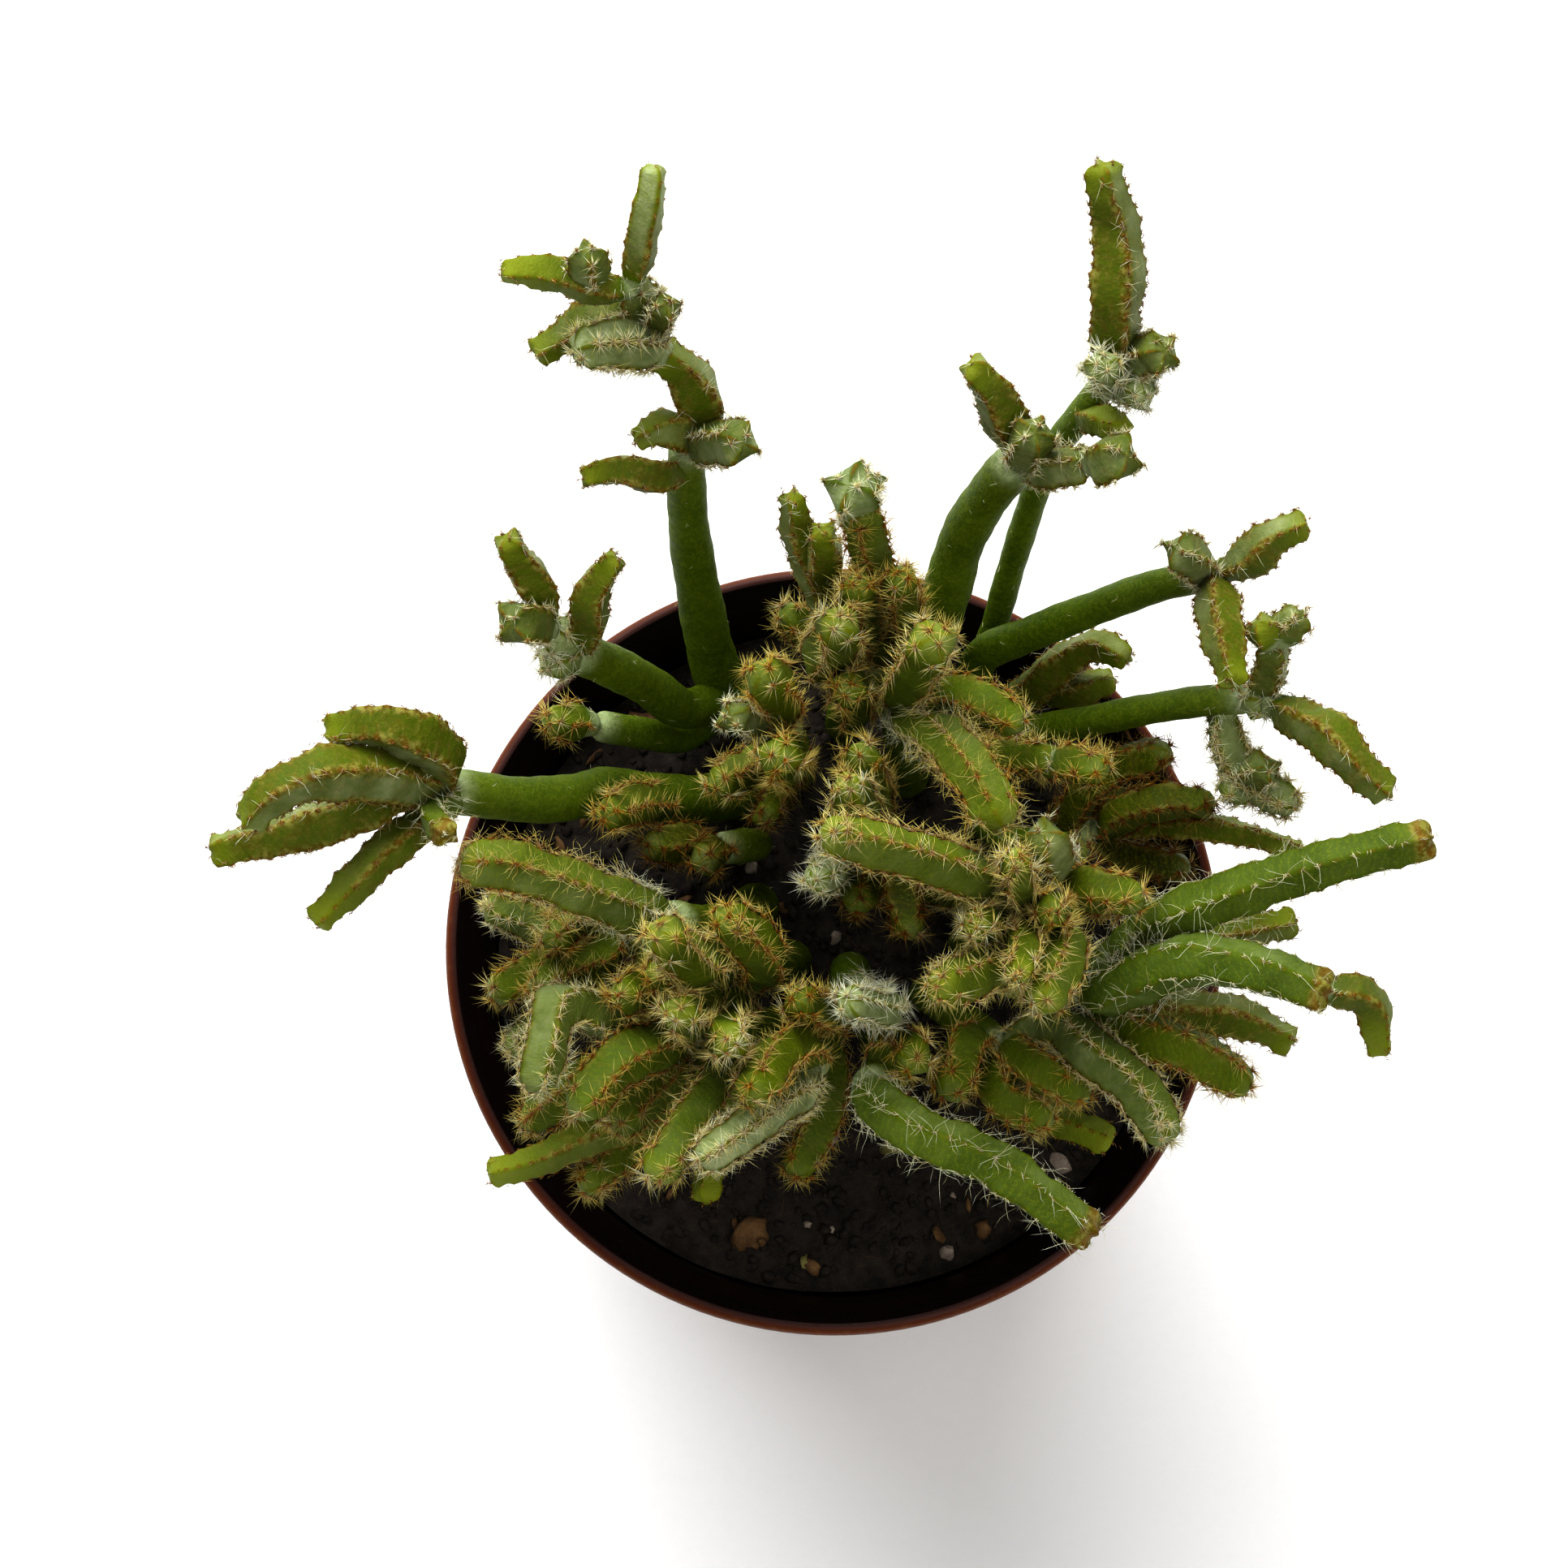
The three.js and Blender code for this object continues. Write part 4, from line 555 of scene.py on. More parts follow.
def flesh_out(shoot, plant, random):
    """The surface of a shoot: rings of points along its centre line, and what its material and bristles need."""
    kind, dress = KINDS[shoot["kind"]], DRESSES[shoot["dress"]]
    ribs, last, turn = kind["ribs"], shoot["last"], shoot["turn"]
    line = plant["at"][shoot["line"]]
    if not ribs:
        line = line[line[:, 2] > SOIL_TOP - BURIED]
    places, lengths = curve_lengths(line)
    length = lengths[-1]
    dome = dress["dome"] * last
    step = dress["bead"] / ROWS_PER_BEAD if ribs else ROUND_STEP
    far = np.arange(0, length - dome - step / 2, step)
    far = np.concatenate([far, [length - dome], length - dome + dome * np.array(DOME_STEPS)])
    share, to_tip, up = far / length, length - far, far[:, None]
    path = curve_points(line, np.interp(far, lengths, places))
    along, side, across = frames_along(path, turn, random.uniform(-TWIST, TWIST) if ribs else 0)

    # The reach from the centre line: ribs that blunt towards the tip, teeth, lumps and puckers, and the dome.
    radius = radius_along(shoot, far, share, length)
    rib, offset, angle, closeness, bulge = points_round(ribs)
    blunt = dress["dome"] * ease(1 - to_tip / (BLUNT_LENGTH * last))[:, None]
    reach = radius[:, None] * (kind["valley"] + (1 - kind["valley"]) * (bulge * (1 - blunt) + 0.3 * blunt))
    ripe = ease((far - BARE_FOOT + 1) / 1.5)[:, None]
    beads = up / dress["bead"] + 0.5 + rib % 2 * 0.5
    if ribs:
        tooth = np.exp(-((beads % 1 - 0.5) / TOOTH_WIDTH) ** 2) * bulge ** 2
        uneven = wave("lumps", turn, up, angle) + wave("puckers", turn, up, angle)
        reach = reach + dress["tooth"] * tooth * ripe + wave("wander", turn, up, rib) * bulge + uneven * ripe
    rounding = np.sqrt(1 - np.clip((far - length + dome) / dome, 0, 0.97) ** 2)
    near_tip = ease(1 - to_tip / (LIFT_LENGTH * last)) * rounding
    lift = dress["lift"] * radius[-1] * near_tip[:, None] * closeness
    reach = (reach + 0.5 * lift) * rounding[:, None]
    outward = side[:, None] * np.cos(angle)[:, None] + across[:, None] * np.sin(angle)[:, None]
    points = path[:, None] + outward * reach[:, :, None] + along[:, None] * lift[:, :, None]
    slope = np.clip(np.gradient(radius * rounding, far), -3, 0.5)
    normal = unit(outward - (along * slope[:, None])[:, None])

    # What the skin reads: how near the crest is, the beat of the areoles, and how brown the rib or how pale the neck.
    burnt = dress["scorch"] * ease(1.2 - to_tip / SCORCH_LENGTH)[:, None]
    if ribs:
        rust = dress["rust"] * (1 - (1 - dress["scorch"]) * 0.7 * ease(1.2 - to_tip / (BROWN_TIP * last)))
        rust = rust * (1 - dress["young"] * ease(1 - to_tip / dress["fresh"]))
        brown = ripe * (1 + np.maximum(rust[:, None], 1.2 * burnt)) - 1
    else:
        brown = ripe * ease(to_tip[:, None] / 3) - 1
    mark = together(np.maximum(closeness, 0.55 * burnt), beads if ribs else 0.25, brown)
    look = look_of(shoot, dress, far, share, to_tip, rib, offset, random)
    return dict(shoot=shoot, dress=dress, ribs=ribs, path=path, along=along, normal=normal, points=points, far=far,
                length=length, mark=mark, look=look)


def look_of(shoot, dress, far, share, to_tip, rib, offset, random):
    """How yellow, young, waxy and of what green each point of a shoot is, with painted shade and painted sheen."""
    ribs = KINDS[shoot["kind"]]["ribs"]
    youth = dress["young"] * (0.2 * share + 0.8 * ease(1 - to_tip / dress["fresh"]))
    above_foot = ease(2.2 * share - 0.3) if shoot["dress"] == "pale" else 1
    wax = dress["grey"] * random.uniform(0.7, 1.1) * above_foot
    if ribs:
        wax = wax + min(dress["tuft"], MOST_FELT) * FELT * ease(1 - to_tip / (FELT_LENGTH * shoot["last"]))
    else:
        wax = wax + TOP_WAX * ease(2.5 * share - 1.5) * random.uniform(0, 1)
    # Painted shade: a random tone, lowered on shoots that lie in the shade of the others.
    tone_and_painted_shade = random.uniform(0, 1) - 2 * dress["dusk"]
    look = together(youth, wax, tone_and_painted_shade)[:, None].repeat(len(rib), 1)
    if ribs:
        # One face in two is paler: wax bloom, and a painted sheen where faces would catch the light.
        every_other = (np.arange(ribs) + random.integers(0, 2)) % 2
        faces = dress["blanch"] * every_other * random.uniform(0.5, 1.2, ribs)
        beside = np.where(offset > 0, faces[rib], faces[rib - 1]) * (offset != 0)
        look[:, :, 1] += beside * (0.7 + wave("bloom_and_sheen", shoot["turn"], far))[:, None]
    return look


def ring_faces(rows, columns):
    """The quads between rings of points, and the triangles from the last ring to one point beyond it."""
    near = np.arange(columns)
    beyond = (near + 1) % columns
    start = (np.arange(rows - 1) * columns)[:, None]
    quads = np.stack([start + near, start + beyond, start + columns + beyond, start + columns + near], -1)
    last = (rows - 1) * columns
    return quads.reshape(-1, 4), np.stack([np.full(columns, rows * columns), last + near, last + beyond], -1)


def skin_parts(body):
    """Points, faces and marks of one closed shoot."""
    points, mark, look = body["points"], body["mark"], body["look"]
    rows, columns = points.shape[:2]
    ends = np.stack([body["path"][-1] + body["along"][-1] * 0.03, points[0].mean(0)])
    quads, lid = ring_faces(rows, columns)
    near = np.arange(columns)
    foot = np.stack([np.full(columns, rows * columns + 1), (near + 1) % columns, near], -1)
    return (np.concatenate([points.reshape(-1, 3), ends]), quads, np.concatenate([lid, foot]),
            np.concatenate([mark.reshape(-1, 3), [mark[-1].mean(0), [0, 0, -1]]]),
            np.concatenate([look.reshape(-1, 3), look[-1, :1], look[0, :1]]))


# ---- Bristles and hairs ----

BRISTLE_SINK = 0.2
BRISTLE_THICK = 0.055
HAIR_THICK = 0.032
HAIR_CURL = 0.15          # bristles more crooked than this are thin hairs
HAIR_JOINTS = 3
AREOLE_SIZE = 0.09
AREOLE_TILT = 1.45
STAR_BRISTLES = 20        # at a tip the bristles stand in stars of about so many
STAR_SIZE = 0.08
STAR_TILT = 1.5
LEAST_STARS = 4
TIP_ROWS = 7
FUZZ_LONG = 0.62
FUZZ_SIZE = 0.28
FUZZ_TILT = 1.35
NECK_WOOL = 30
WOOL_LONG = 1.3
WOOL_SIZE = 0.2
WOOL_TILT = 1.3
LEAST_LEAN = 0.35
FORWARD = 0.15            # how much bristles point along the shoot
LONG_RANGE = (0.5, 1.15)
GOLD_SPREAD = 0.14
MOST_GOLD = 1.7


def star(body, rows, columns, tilt, long, spread, random):
    """Bristles that stand out round places on a shoot, tilted by up to so much from its surface's normal."""
    count = len(rows)
    normal, along = body["normal"][rows, columns], body["along"][rows]
    across = unit(np.cross(along, normal))
    up = np.cross(normal, across)
    around = random.uniform(0, 2 * math.pi, (count, 1))
    lean = tilt * np.sqrt(random.uniform(LEAST_LEAN, 1, (count, 1)))
    direction = normal * np.cos(lean) + (across * np.cos(around) + up * np.sin(around)) * np.sin(lean)
    root = body["points"][rows, columns] + across * random.normal(0, AREOLE_SIZE, (count, 1))
    root = root + along * random.normal(0, spread, (count, 1))
    return dict(root=root, direction=unit(direction + FORWARD * along),
                long=long * random.uniform(*LONG_RANGE, count), share=body["far"][rows] / body["length"])


def areoles_of(body):
    """The row and column of every areole on a shoot."""
    places = []
    crests = np.arange(body["ribs"]) * len(RIB_OFFSETS) + CREST if body["ribs"] else np.arange(0, ROUND_SIDES, 5)
    for order, crest in enumerate(crests):
        rows = np.arange(0, len(body["far"]) - len(DOME_STEPS), ROWS_PER_BEAD) + order % 2 * ROWS_PER_BEAD // 2
        for row in rows[rows < len(body["far"]) - 1]:
            if body["far"][row] >= BARE_FOOT and body["path"][row, 2] > SOIL_TOP + 1.5:
                places.append((row, crest))
    return np.array(places, int).reshape(-1, 2)


def coloured(made, gold, curl, dusk, random):
    """The bristles with how golden and crooked each is, and a chance lowered by painted shade and withering."""
    count = len(made["root"])
    made["gold"] = np.clip(gold + random.normal(0, GOLD_SPREAD, count), 0, MOST_GOLD)
    made["curl"] = np.full(count, curl)
    made["chance"] = random.uniform(0, 1, count) - 2 * dusk
    return made


def joined(sets):
    """Several sets of bristles as one."""
    return {key: np.concatenate([one[key] for one in sets]) for key in sets[0]}


def kept_clear(made):
    """The bristles that don't dip into the soil or stand out of the plant's own room."""
    end = made["root"] + made["direction"] * made["long"][:, None]
    low = (end[:, 2] < SOIL_TOP + 0.5) & (np.hypot(end[:, 0], end[:, 1]) < RIM_RADIUS)
    outside = np.any((end < np.array(CAD_BOX[0]) / MM - 1) | (end > np.array(CAD_BOX[1]) / MM + 1), axis=1)
    return {key: value[~low & ~outside] for key, value in made.items()}


def bristles_of(body, random):
    """The long bristles of a shoot, on its areoles and its tip, and the short ones, there and round its foot."""
    name, dress, columns = body["shoot"]["dress"], body["dress"], body["points"].shape[1]
    long, curl, dusk, last = dress["long"], dress["curl"], dress["dusk"], len(body["far"]) - 1

    # On the areoles. Woolly shoots are barer towards the tip, and mixed ones more golden.
    areoles = areoles_of(body)
    share = body["far"][areoles[:, 0]] / body["length"]
    thickly = 1.7 - 1.2 * share if name == "woolly" else 1 + 0.4 * share
    chosen = np.repeat(areoles, random.poisson(dress["count"] * thickly), axis=0)
    made = star(body, *chosen.T, AREOLE_TILT, long, AREOLE_SIZE, random)
    gold = made["share"] * 1.2 - 0.2 if name == "mixed" else dress["gold"]
    bristles = [coloured(made, gold, curl, dusk, random)]

    # On the tip, in stars that are spread over the dome as evenly as seeds on a flower's head.
    count = random.poisson(dress["tuft"])
    stars = max(count // STAR_BRISTLES, LEAST_STARS)
    order = np.arange(stars)
    around = order * GOLDEN_ANGLE / (2 * math.pi) * columns + random.uniform(0, columns)
    tips = np.stack([np.maximum(last - order * TIP_ROWS // stars, 1), around.astype(int) % columns], -1)
    chosen = random.integers(0, stars, count)
    made = star(body, *tips[chosen].T, STAR_TILT, long, STAR_SIZE, random)
    gold = dress["gold"] * random.uniform(0.4, 1.4, stars)[chosen]
    bristles.append(coloured(made, gold, curl, dusk, random))

    # The short ones, thickest on the tip, and the wool round the foot.
    places = np.concatenate([areoles, tips, tips, tips])
    chosen = np.repeat(places, random.poisson(dress["fuzz"], len(places)), axis=0)
    made = star(body, *chosen.T, FUZZ_TILT, min(FUZZ_LONG, 0.8 * long), FUZZ_SIZE, random)
    gold = made["share"] if name == "mixed" else max(1.7 * dress["gold"], 1.4 * dress["rust"] - 0.9)
    # The short bristles of shoots with strongly brown ribs wither browner, on top of any painted shade.
    fuzz = [coloured(made, gold, 0, dusk + 0.5 * (dress["rust"] > 1.1), random)]
    if body["ribs"]:
        count = random.poisson(NECK_WOOL)
        rows = random.integers(0, 2 * ROWS_PER_BEAD, count) % last
        made = star(body, rows, random.integers(0, columns, count), WOOL_TILT, WOOL_LONG, WOOL_SIZE, random)
        fuzz.append(coloured(made, 0, 0, dusk, random))
    return kept_clear(joined(bristles)), kept_clear(joined(fuzz))


def bristle_parts(bristles, joints, random):
    """Closed three-sided bristles that taper to a point. Returns points, quads, triangles and marks."""
    root, direction, long = bristles["root"], bristles["direction"], bristles["long"]
    count = len(root)
    helper = np.where(np.abs(direction[:, 2:]) < 0.8, [[0.0, 0.0, 1.0]], [[1.0, 0.0, 0.0]])
    across = unit(np.cross(direction, helper))
    up = np.cross(direction, across)
    share = np.linspace(0, 1, joints + 1)
    wander = random.normal(0, 1, (count, joints + 1, 3)) * (bristles["curl"] * long / joints)[:, None, None]
    wander[:, 0] = 0
    wander = np.cumsum(wander, axis=1)
    sag = random.normal(0, 0.1, (count, 1, 3)) * long[:, None, None]
    centre = (root - direction * BRISTLE_SINK)[:, None] + wander + sag * share[:, None] ** 2
    centre = centre + direction[:, None] * ((long + BRISTLE_SINK)[:, None] * share)[:, :, None]
    thick = np.where(bristles["curl"] > HAIR_CURL, HAIR_THICK, BRISTLE_THICK)[:, None] * (1 - 0.7 * share[:-1])
    corner = np.arange(3)[:, None] * 2 * math.pi / 3
    ring = across[:, None, None] * np.cos(corner) + up[:, None, None] * np.sin(corner)
    rings = centre[:, :-1, None] + ring * thick[:, :, None, None]
    points = np.concatenate([rings.reshape(count, joints * 3, 3), centre[:, -1:]], axis=1)
    quads, tip = ring_faces(joints, 3)
    triangles = np.concatenate([tip, [[0, 2, 1]]])
    start = (np.arange(count) * points.shape[1])[:, None, None]
    height = np.concatenate([np.repeat(share[:-1], 3), [1]])
    mark = together(bristles["gold"][:, None], height, bristles["chance"][:, None])
    return (points.reshape(-1, 3), (start + quads).reshape(-1, 4), (start + triangles).reshape(-1, 3),
            mark.reshape(-1, 3))


# ---- Making pieces ----


def make_piece(name, points, faces, material, attributes):
    """A smooth-shaded piece from points in millimetres, lists of faces of one width each, and vertex marks."""
    mesh = bpy.data.meshes.new(name)
    mesh.vertices.add(len(points))
    mesh.vertices.foreach_set("co", (np.asarray(points) * MM).astype(np.float32).ravel())
    corners = np.concatenate([face.ravel() for face in faces]).astype(np.int32)
    widths = np.concatenate([np.full(len(face), face.shape[1]) for face in faces])
    mesh.loops.add(len(corners))
    mesh.loops.foreach_set("vertex_index", corners)
    mesh.polygons.add(len(widths))
    mesh.polygons.foreach_set("loop_start", (np.cumsum(widths) - widths).astype(np.int32))
    mesh.update(calc_edges=True)
    for key, values in attributes.items():
        made = mesh.attributes.new(key, "FLOAT_VECTOR", "POINT")
        made.data.foreach_set("vector", np.asarray(values, np.float32).ravel())
    mesh.polygons.foreach_set("use_smooth", np.ones(len(widths), bool))
    mesh.materials.append(material)
    piece = bpy.data.objects.new(name, mesh)
    bpy.context.scene.collection.objects.link(piece)
    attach(piece, BODY)
    return piece


def stack(parts):
    """Joins the point, face and mark lists of many parts into one of each. Faces are counted on."""
    columns = list(zip(*parts))
    starts = np.cumsum([0] + [len(points) for points in columns[0]])[:-1]
    joined = [np.concatenate(columns[0])]
    for column in columns[1:3]:
        joined.append(np.concatenate([faces + start for faces, start in zip(column, starts)]))
    joined += [np.concatenate(column) for column in columns[3:]]
    return joined


def make_plant(skin, bristle):
    plant, shoots = grow_centre_lines()
    bend_clear(plant)
    random = np.random.default_rng(PLANT_SEED)
    bodies = [flesh_out(shoot, plant, random) for shoot in shoots]
    for stem in STEMS:
        mine = [body for body in bodies if body["shoot"]["stem"] == stem]
        points, quads, triangles, mark, look = stack([skin_parts(body) for body in mine])
        flesh = make_piece(f"flesh_{stem}", points, [quads, triangles], skin, {"mark": mark, "look": look})
        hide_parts(f"stem_{stem}")
        parts = []
        for body in mine:
            bristles, fuzz = bristles_of(body, random)
            parts.append(bristle_parts(bristles, HAIR_JOINTS if body["dress"]["curl"] > HAIR_CURL else 1, random))
            parts.append(bristle_parts(fuzz, 1, random))
        points, quads, triangles, mark = stack(parts)
        make_piece(f"bristles_{stem}", points, [quads, triangles], bristle, {"mark": mark})


# ---- Pot and soil, modelled with the mesh tools ----

POT_SIDES = 144
LIP_BEAD = 0.9            # radius of the roll along the lip's edge
SHARP_EDGE = 35
SOFT_EDGE = 60
DRILL_SIDES = 24
SOIL_SIDES = 180
SOIL_RINGS = 56
SOIL_CORNER = 1.5
CLODS = ((2.9, 0.3, 1.0), (1.3, 0.22, 2.3), (0.7, 0.12, 4.1))    # size, depth and shift of the lumps in the soil


def primitive(add_it, **settings):
    """A new primitive that alone is selected."""
    bpy.ops.object.select_all(action="DESELECT")
    add_it(**settings)
    return bpy.context.object


def select_only(piece):
    bpy.ops.object.select_all(action="DESELECT")
    piece.select_set(True)
    bpy.context.view_layer.objects.active = piece


def finish_piece(piece, material, angle):
    select_only(piece)
    bpy.ops.object.shade_smooth_by_angle(angle=math.radians(angle))
    piece.data.materials.clear()
    piece.data.materials.append(material)
    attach(piece, BODY)


def inner_radius(height):
    top = RIM_RADIUS - LIP_WIDTH
    return BASE_RADIUS + (top - BASE_RADIUS) * (height / POT_HEIGHT) - WALL


def turned_piece(name, profile, sides):
    """A closed body turned about the pot's axis: a round plate that is drawn up through the profile's steps."""
    radius, height = profile[0]
    piece = primitive(bpy.ops.mesh.primitive_circle_add, vertices=sides, radius=radius * MM, fill_type="NGON",
                      location=(0, 0, height * MM))
    piece.name = piece.data.name = name
    bpy.ops.object.transform_apply(location=True, rotation=True, scale=True)
    select_only(piece)
    bpy.ops.object.mode_set(mode="EDIT")
    bpy.ops.mesh.select_all(action="SELECT")
    for new_radius, new_height in profile[1:]:
        bpy.ops.mesh.extrude_region()
        size = new_radius / radius
        bpy.ops.transform.resize(value=(size, size, 1))
        bpy.ops.transform.translate(value=(0, 0, (new_height - height) * MM))
        radius, height = new_radius, new_height
    bpy.ops.mesh.select_all(action="SELECT")
    bpy.ops.mesh.normals_make_consistent(inside=False)
    bpy.ops.object.mode_set(mode="OBJECT")
    return piece


def pot_profile():
    """The pot's outline from the middle of its base up the outside, round the rolled lip and down the inside."""
    lip_foot = POT_HEIGHT - LIP_HEIGHT
    outer_top = inner_radius(lip_foot) + WALL
    foot = [(BASE_RADIUS - 2.6, 0), (BASE_RADIUS - 1, 0), (BASE_RADIUS - 0.3, 0.3), (BASE_RADIUS + 0.1, 1.0)]
    wall = [(BASE_RADIUS + 0.35 + (outer_top - BASE_RADIUS) * share, 1.8 + (lip_foot - 2.6) * share)
            for share in np.linspace(0, 1, 12)]
    middle = RIM_RADIUS - LIP_BEAD
    round_out = [(middle + LIP_BEAD * math.sin(turn), lip_foot + 1.1 + LIP_BEAD - LIP_BEAD * math.cos(turn))
                 for turn in np.linspace(0.2, math.pi / 2, 5)]
    round_top = [(middle + LIP_BEAD * math.cos(turn), POT_HEIGHT - LIP_BEAD + LIP_BEAD * math.sin(turn))
                 for turn in np.linspace(0, 1.9, 8)]
    inside = [(RIM_RADIUS - LIP_WIDTH - 0.1, POT_HEIGHT - 1.5), (inner_radius(lip_foot), lip_foot - 0.6)]
    down = [(inner_radius(height), height) for height in np.linspace(lip_foot - 6, FLOOR + 1, 8)]
    base = [(inner_radius(FLOOR) - 0.8, FLOOR), (DRAIN_CIRCLE / 2, FLOOR)]
    return foot + wall + [(outer_top + 0.5, lip_foot + 0.2)] + round_out + round_top + inside + down + base


def make_pot(material):
    pot = turned_piece("pot_shell", pot_profile(), POT_SIDES)
    for i in range(DRAIN_COUNT):
        angle = (i + 0.5) * 2 * math.pi / DRAIN_COUNT
        place = (DRAIN_CIRCLE * math.cos(angle) * MM, DRAIN_CIRCLE * math.sin(angle) * MM, 0)
        drill = primitive(bpy.ops.mesh.primitive_cylinder_add, vertices=DRILL_SIDES, radius=DRAIN_RADIUS * MM,
                          depth=FLOOR * 3 * MM, location=place)
        cut = pot.modifiers.new("drain", "BOOLEAN")
        cut.operation = "DIFFERENCE"
        cut.solver = "EXACT"
        cut.object = drill
        select_only(pot)
        bpy.ops.object.modifier_apply(modifier=cut.name)
        bpy.data.objects.remove(drill)
    finish_piece(pot, material, SHARP_EDGE)
    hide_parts("pot")


def soil_bump(x, y):
    slow = np.sin(x * 0.21 + 0.7) * np.cos(y * 0.17 - 0.4)
    quick = np.sin(x * 0.53 - y * 0.37) * 0.5
    return SOIL_BUMP * (slow + quick)


def soil_height(x, y):
    """The soil's height with its clods: the slow swell, and finer and finer lumps on it."""
    height = SOIL_TOP + soil_bump(x, y)
    for size, depth, shift in CLODS:
        along = np.sin(x / size * 1.7 + shift + 1.3 * np.sin(y / size + shift))
        height = height + depth * along * np.cos(y / size * 1.5 - shift + 1.1 * np.sin(x / size * 1.2))
    return height


def make_soil(material):
    foot = FLOOR + SOIL_GAP
    shoulder = SOIL_TOP - SOIL_CORNER
    edge = inner_radius(SOIL_TOP) - SOIL_GAP
    side = [(inner_radius(height) - SOIL_GAP, height) for height in (foot, shoulder)]
    rings = [(edge * (1 - share), SOIL_TOP) for share in np.linspace(0, 0.985, SOIL_RINGS)]
    soil = turned_piece("peat", side + rings, SOIL_SIDES)
    places = np.zeros(len(soil.data.vertices) * 3, np.float32)
    soil.data.vertices.foreach_get("co", places)
    places = places.reshape(-1, 3).astype(float) / MM
    top = places[:, 2] > shoulder + 0.5
    places[top, 2] = soil_height(places[top, 0], places[top, 1])
    soil.data.vertices.foreach_set("co", (places * MM).astype(np.float32).ravel())
    soil.data.update()
    finish_piece(soil, material, SOFT_EDGE)
    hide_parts("soil")


# ---- What lies on the soil ----

LITTER_SEED = 5
CRUMBS = 1700
FLAKES = 70
GRAINS = 26
FIBRES = 340
FIBRE_JOINTS = 4

# Bark and perlite pieces half sunk in the soil: x, y, radius and what they are.
CHIPS = [
    (-0.5, -21, 1.5, "perlite"),
    (6.5, -21.5, 1.3, "straw"),
    (-9, -31, 1.8, "bark"),
    (16.5, -30.5, 1.5, "bark"),
    (12.5, -33, 1.2, "perlite"),
    (-21, 26.5, 1.8, "bark"),
    (-3, -34, 1.1, "straw"),
    (25, -23, 1.2, "perlite"),
]


def lump_pattern(detail):
    """Points and triangles of one rough lump, modelled once and copied for crumbs, bark and perlite."""
    lump = primitive(bpy.ops.mesh.primitive_ico_sphere_add, subdivisions=detail, radius=1)
    points = np.array([vertex.co for vertex in lump.data.vertices])
    faces = np.array([face.vertices for face in lump.data.polygons])
    bpy.data.objects.remove(lump)
    return points, faces


def scatter(name, pattern, places, sizes, shape, material, random, rough=0.25):
    """Copies of a lump, each turned, stretched and roughened its own way, half sunk in the soil."""
    points, faces = pattern
    count = len(places)
    turn = random.normal(0, 1, (count, 4))
    turn /= np.linalg.norm(turn, axis=1, keepdims=True)
    w, x, y, z = turn.T
    rotation = np.stack([
        1 - 2 * (y * y + z * z), 2 * (x * y - z * w), 2 * (x * z + y * w),
        2 * (x * y + z * w), 1 - 2 * (x * x + z * z), 2 * (y * z - x * w),
        2 * (x * z - y * w), 2 * (y * z + x * w), 1 - 2 * (x * x + y * y)], -1).reshape(count, 3, 3)
    stretch = np.array(shape) * random.uniform(0.7, 1.3, (count, 3)) * sizes[:, None]
    local = points * (1 + random.uniform(-rough, rough, (count, len(points), 1))) * stretch[:, None]
    placed = np.einsum("nij,nkj->nki", rotation, local)
    placed += np.column_stack([places, soil_height(*places.T) + 0.15 * sizes])[:, None]
    every = (faces + (np.arange(count) * len(points))[:, None, None]).reshape(-1, 3)
    tint = np.repeat(random.uniform(0, 1, (count, 3)), len(points), axis=0)
    make_piece(name, placed.reshape(-1, 3), [every], material, {"tint": tint})


def spread(count, reach, random):
    """Places strewn evenly over a disc."""
    angle = random.uniform(0, 2 * math.pi, count)
    far = reach * np.sqrt(random.uniform(0, 1, count))
    return np.stack([far * np.cos(angle), far * np.sin(angle)], -1)


def make_litter(materials):
    random = np.random.default_rng(LITTER_SEED)
    crumb, pebble = lump_pattern(1), lump_pattern(2)
    edge = inner_radius(SOIL_TOP) - 1.2
    for name, pattern, count, sizes, shape, what, rough in (
            ("peat_crumbs", crumb, CRUMBS, (0.25, 0.85), (1.2, 0.9, 0.8), "peat", 0.35),
            ("bark_flakes", pebble, FLAKES, (0.5, 1.1), (1.7, 0.8, 0.4), "bark", 0.25),
            ("perlite_grains", pebble, GRAINS, (0.35, 0.7), (1, 1, 0.9), "perlite", 0.25)):
        places = spread(count, edge, random)
        scatter(name, pattern, places, random.uniform(*sizes, count), shape, materials[what], random, rough)
    for what in ("perlite", "straw", "bark"):
        mine = np.array([chip[:3] for chip in CHIPS if chip[3] == what])
        scatter(f"{what}_chips", pebble, mine[:, :2], mine[:, 2], (1.1, 0.9, 0.6), materials[what], random)
    places = spread(FIBRES, edge, random)
    flat = random.uniform(0, 2 * math.pi, FIBRES)
    fibres = dict(root=np.column_stack([places, soil_height(*places.T) + 0.25]),
                  direction=unit(np.stack([np.cos(flat), np.sin(flat), random.uniform(-0.05, 0.25, FIBRES)], -1)),
                  long=random.uniform(1.5, 5, FIBRES), gold=random.uniform(0, 1, FIBRES),
                  chance=random.uniform(0, 1, FIBRES), curl=np.full(FIBRES, 0.35))
    inside = np.hypot(*(places + fibres["direction"][:, :2] * fibres["long"][:, None]).T) < edge
    fibres = {key: value[inside] for key, value in fibres.items()}
    points, quads, triangles, mark = bristle_parts(fibres, FIBRE_JOINTS, random)
    make_piece("peat_fibres", points, [quads, triangles], materials["peat_fibre"], {"tint": mark})


# ---- Finishes ----

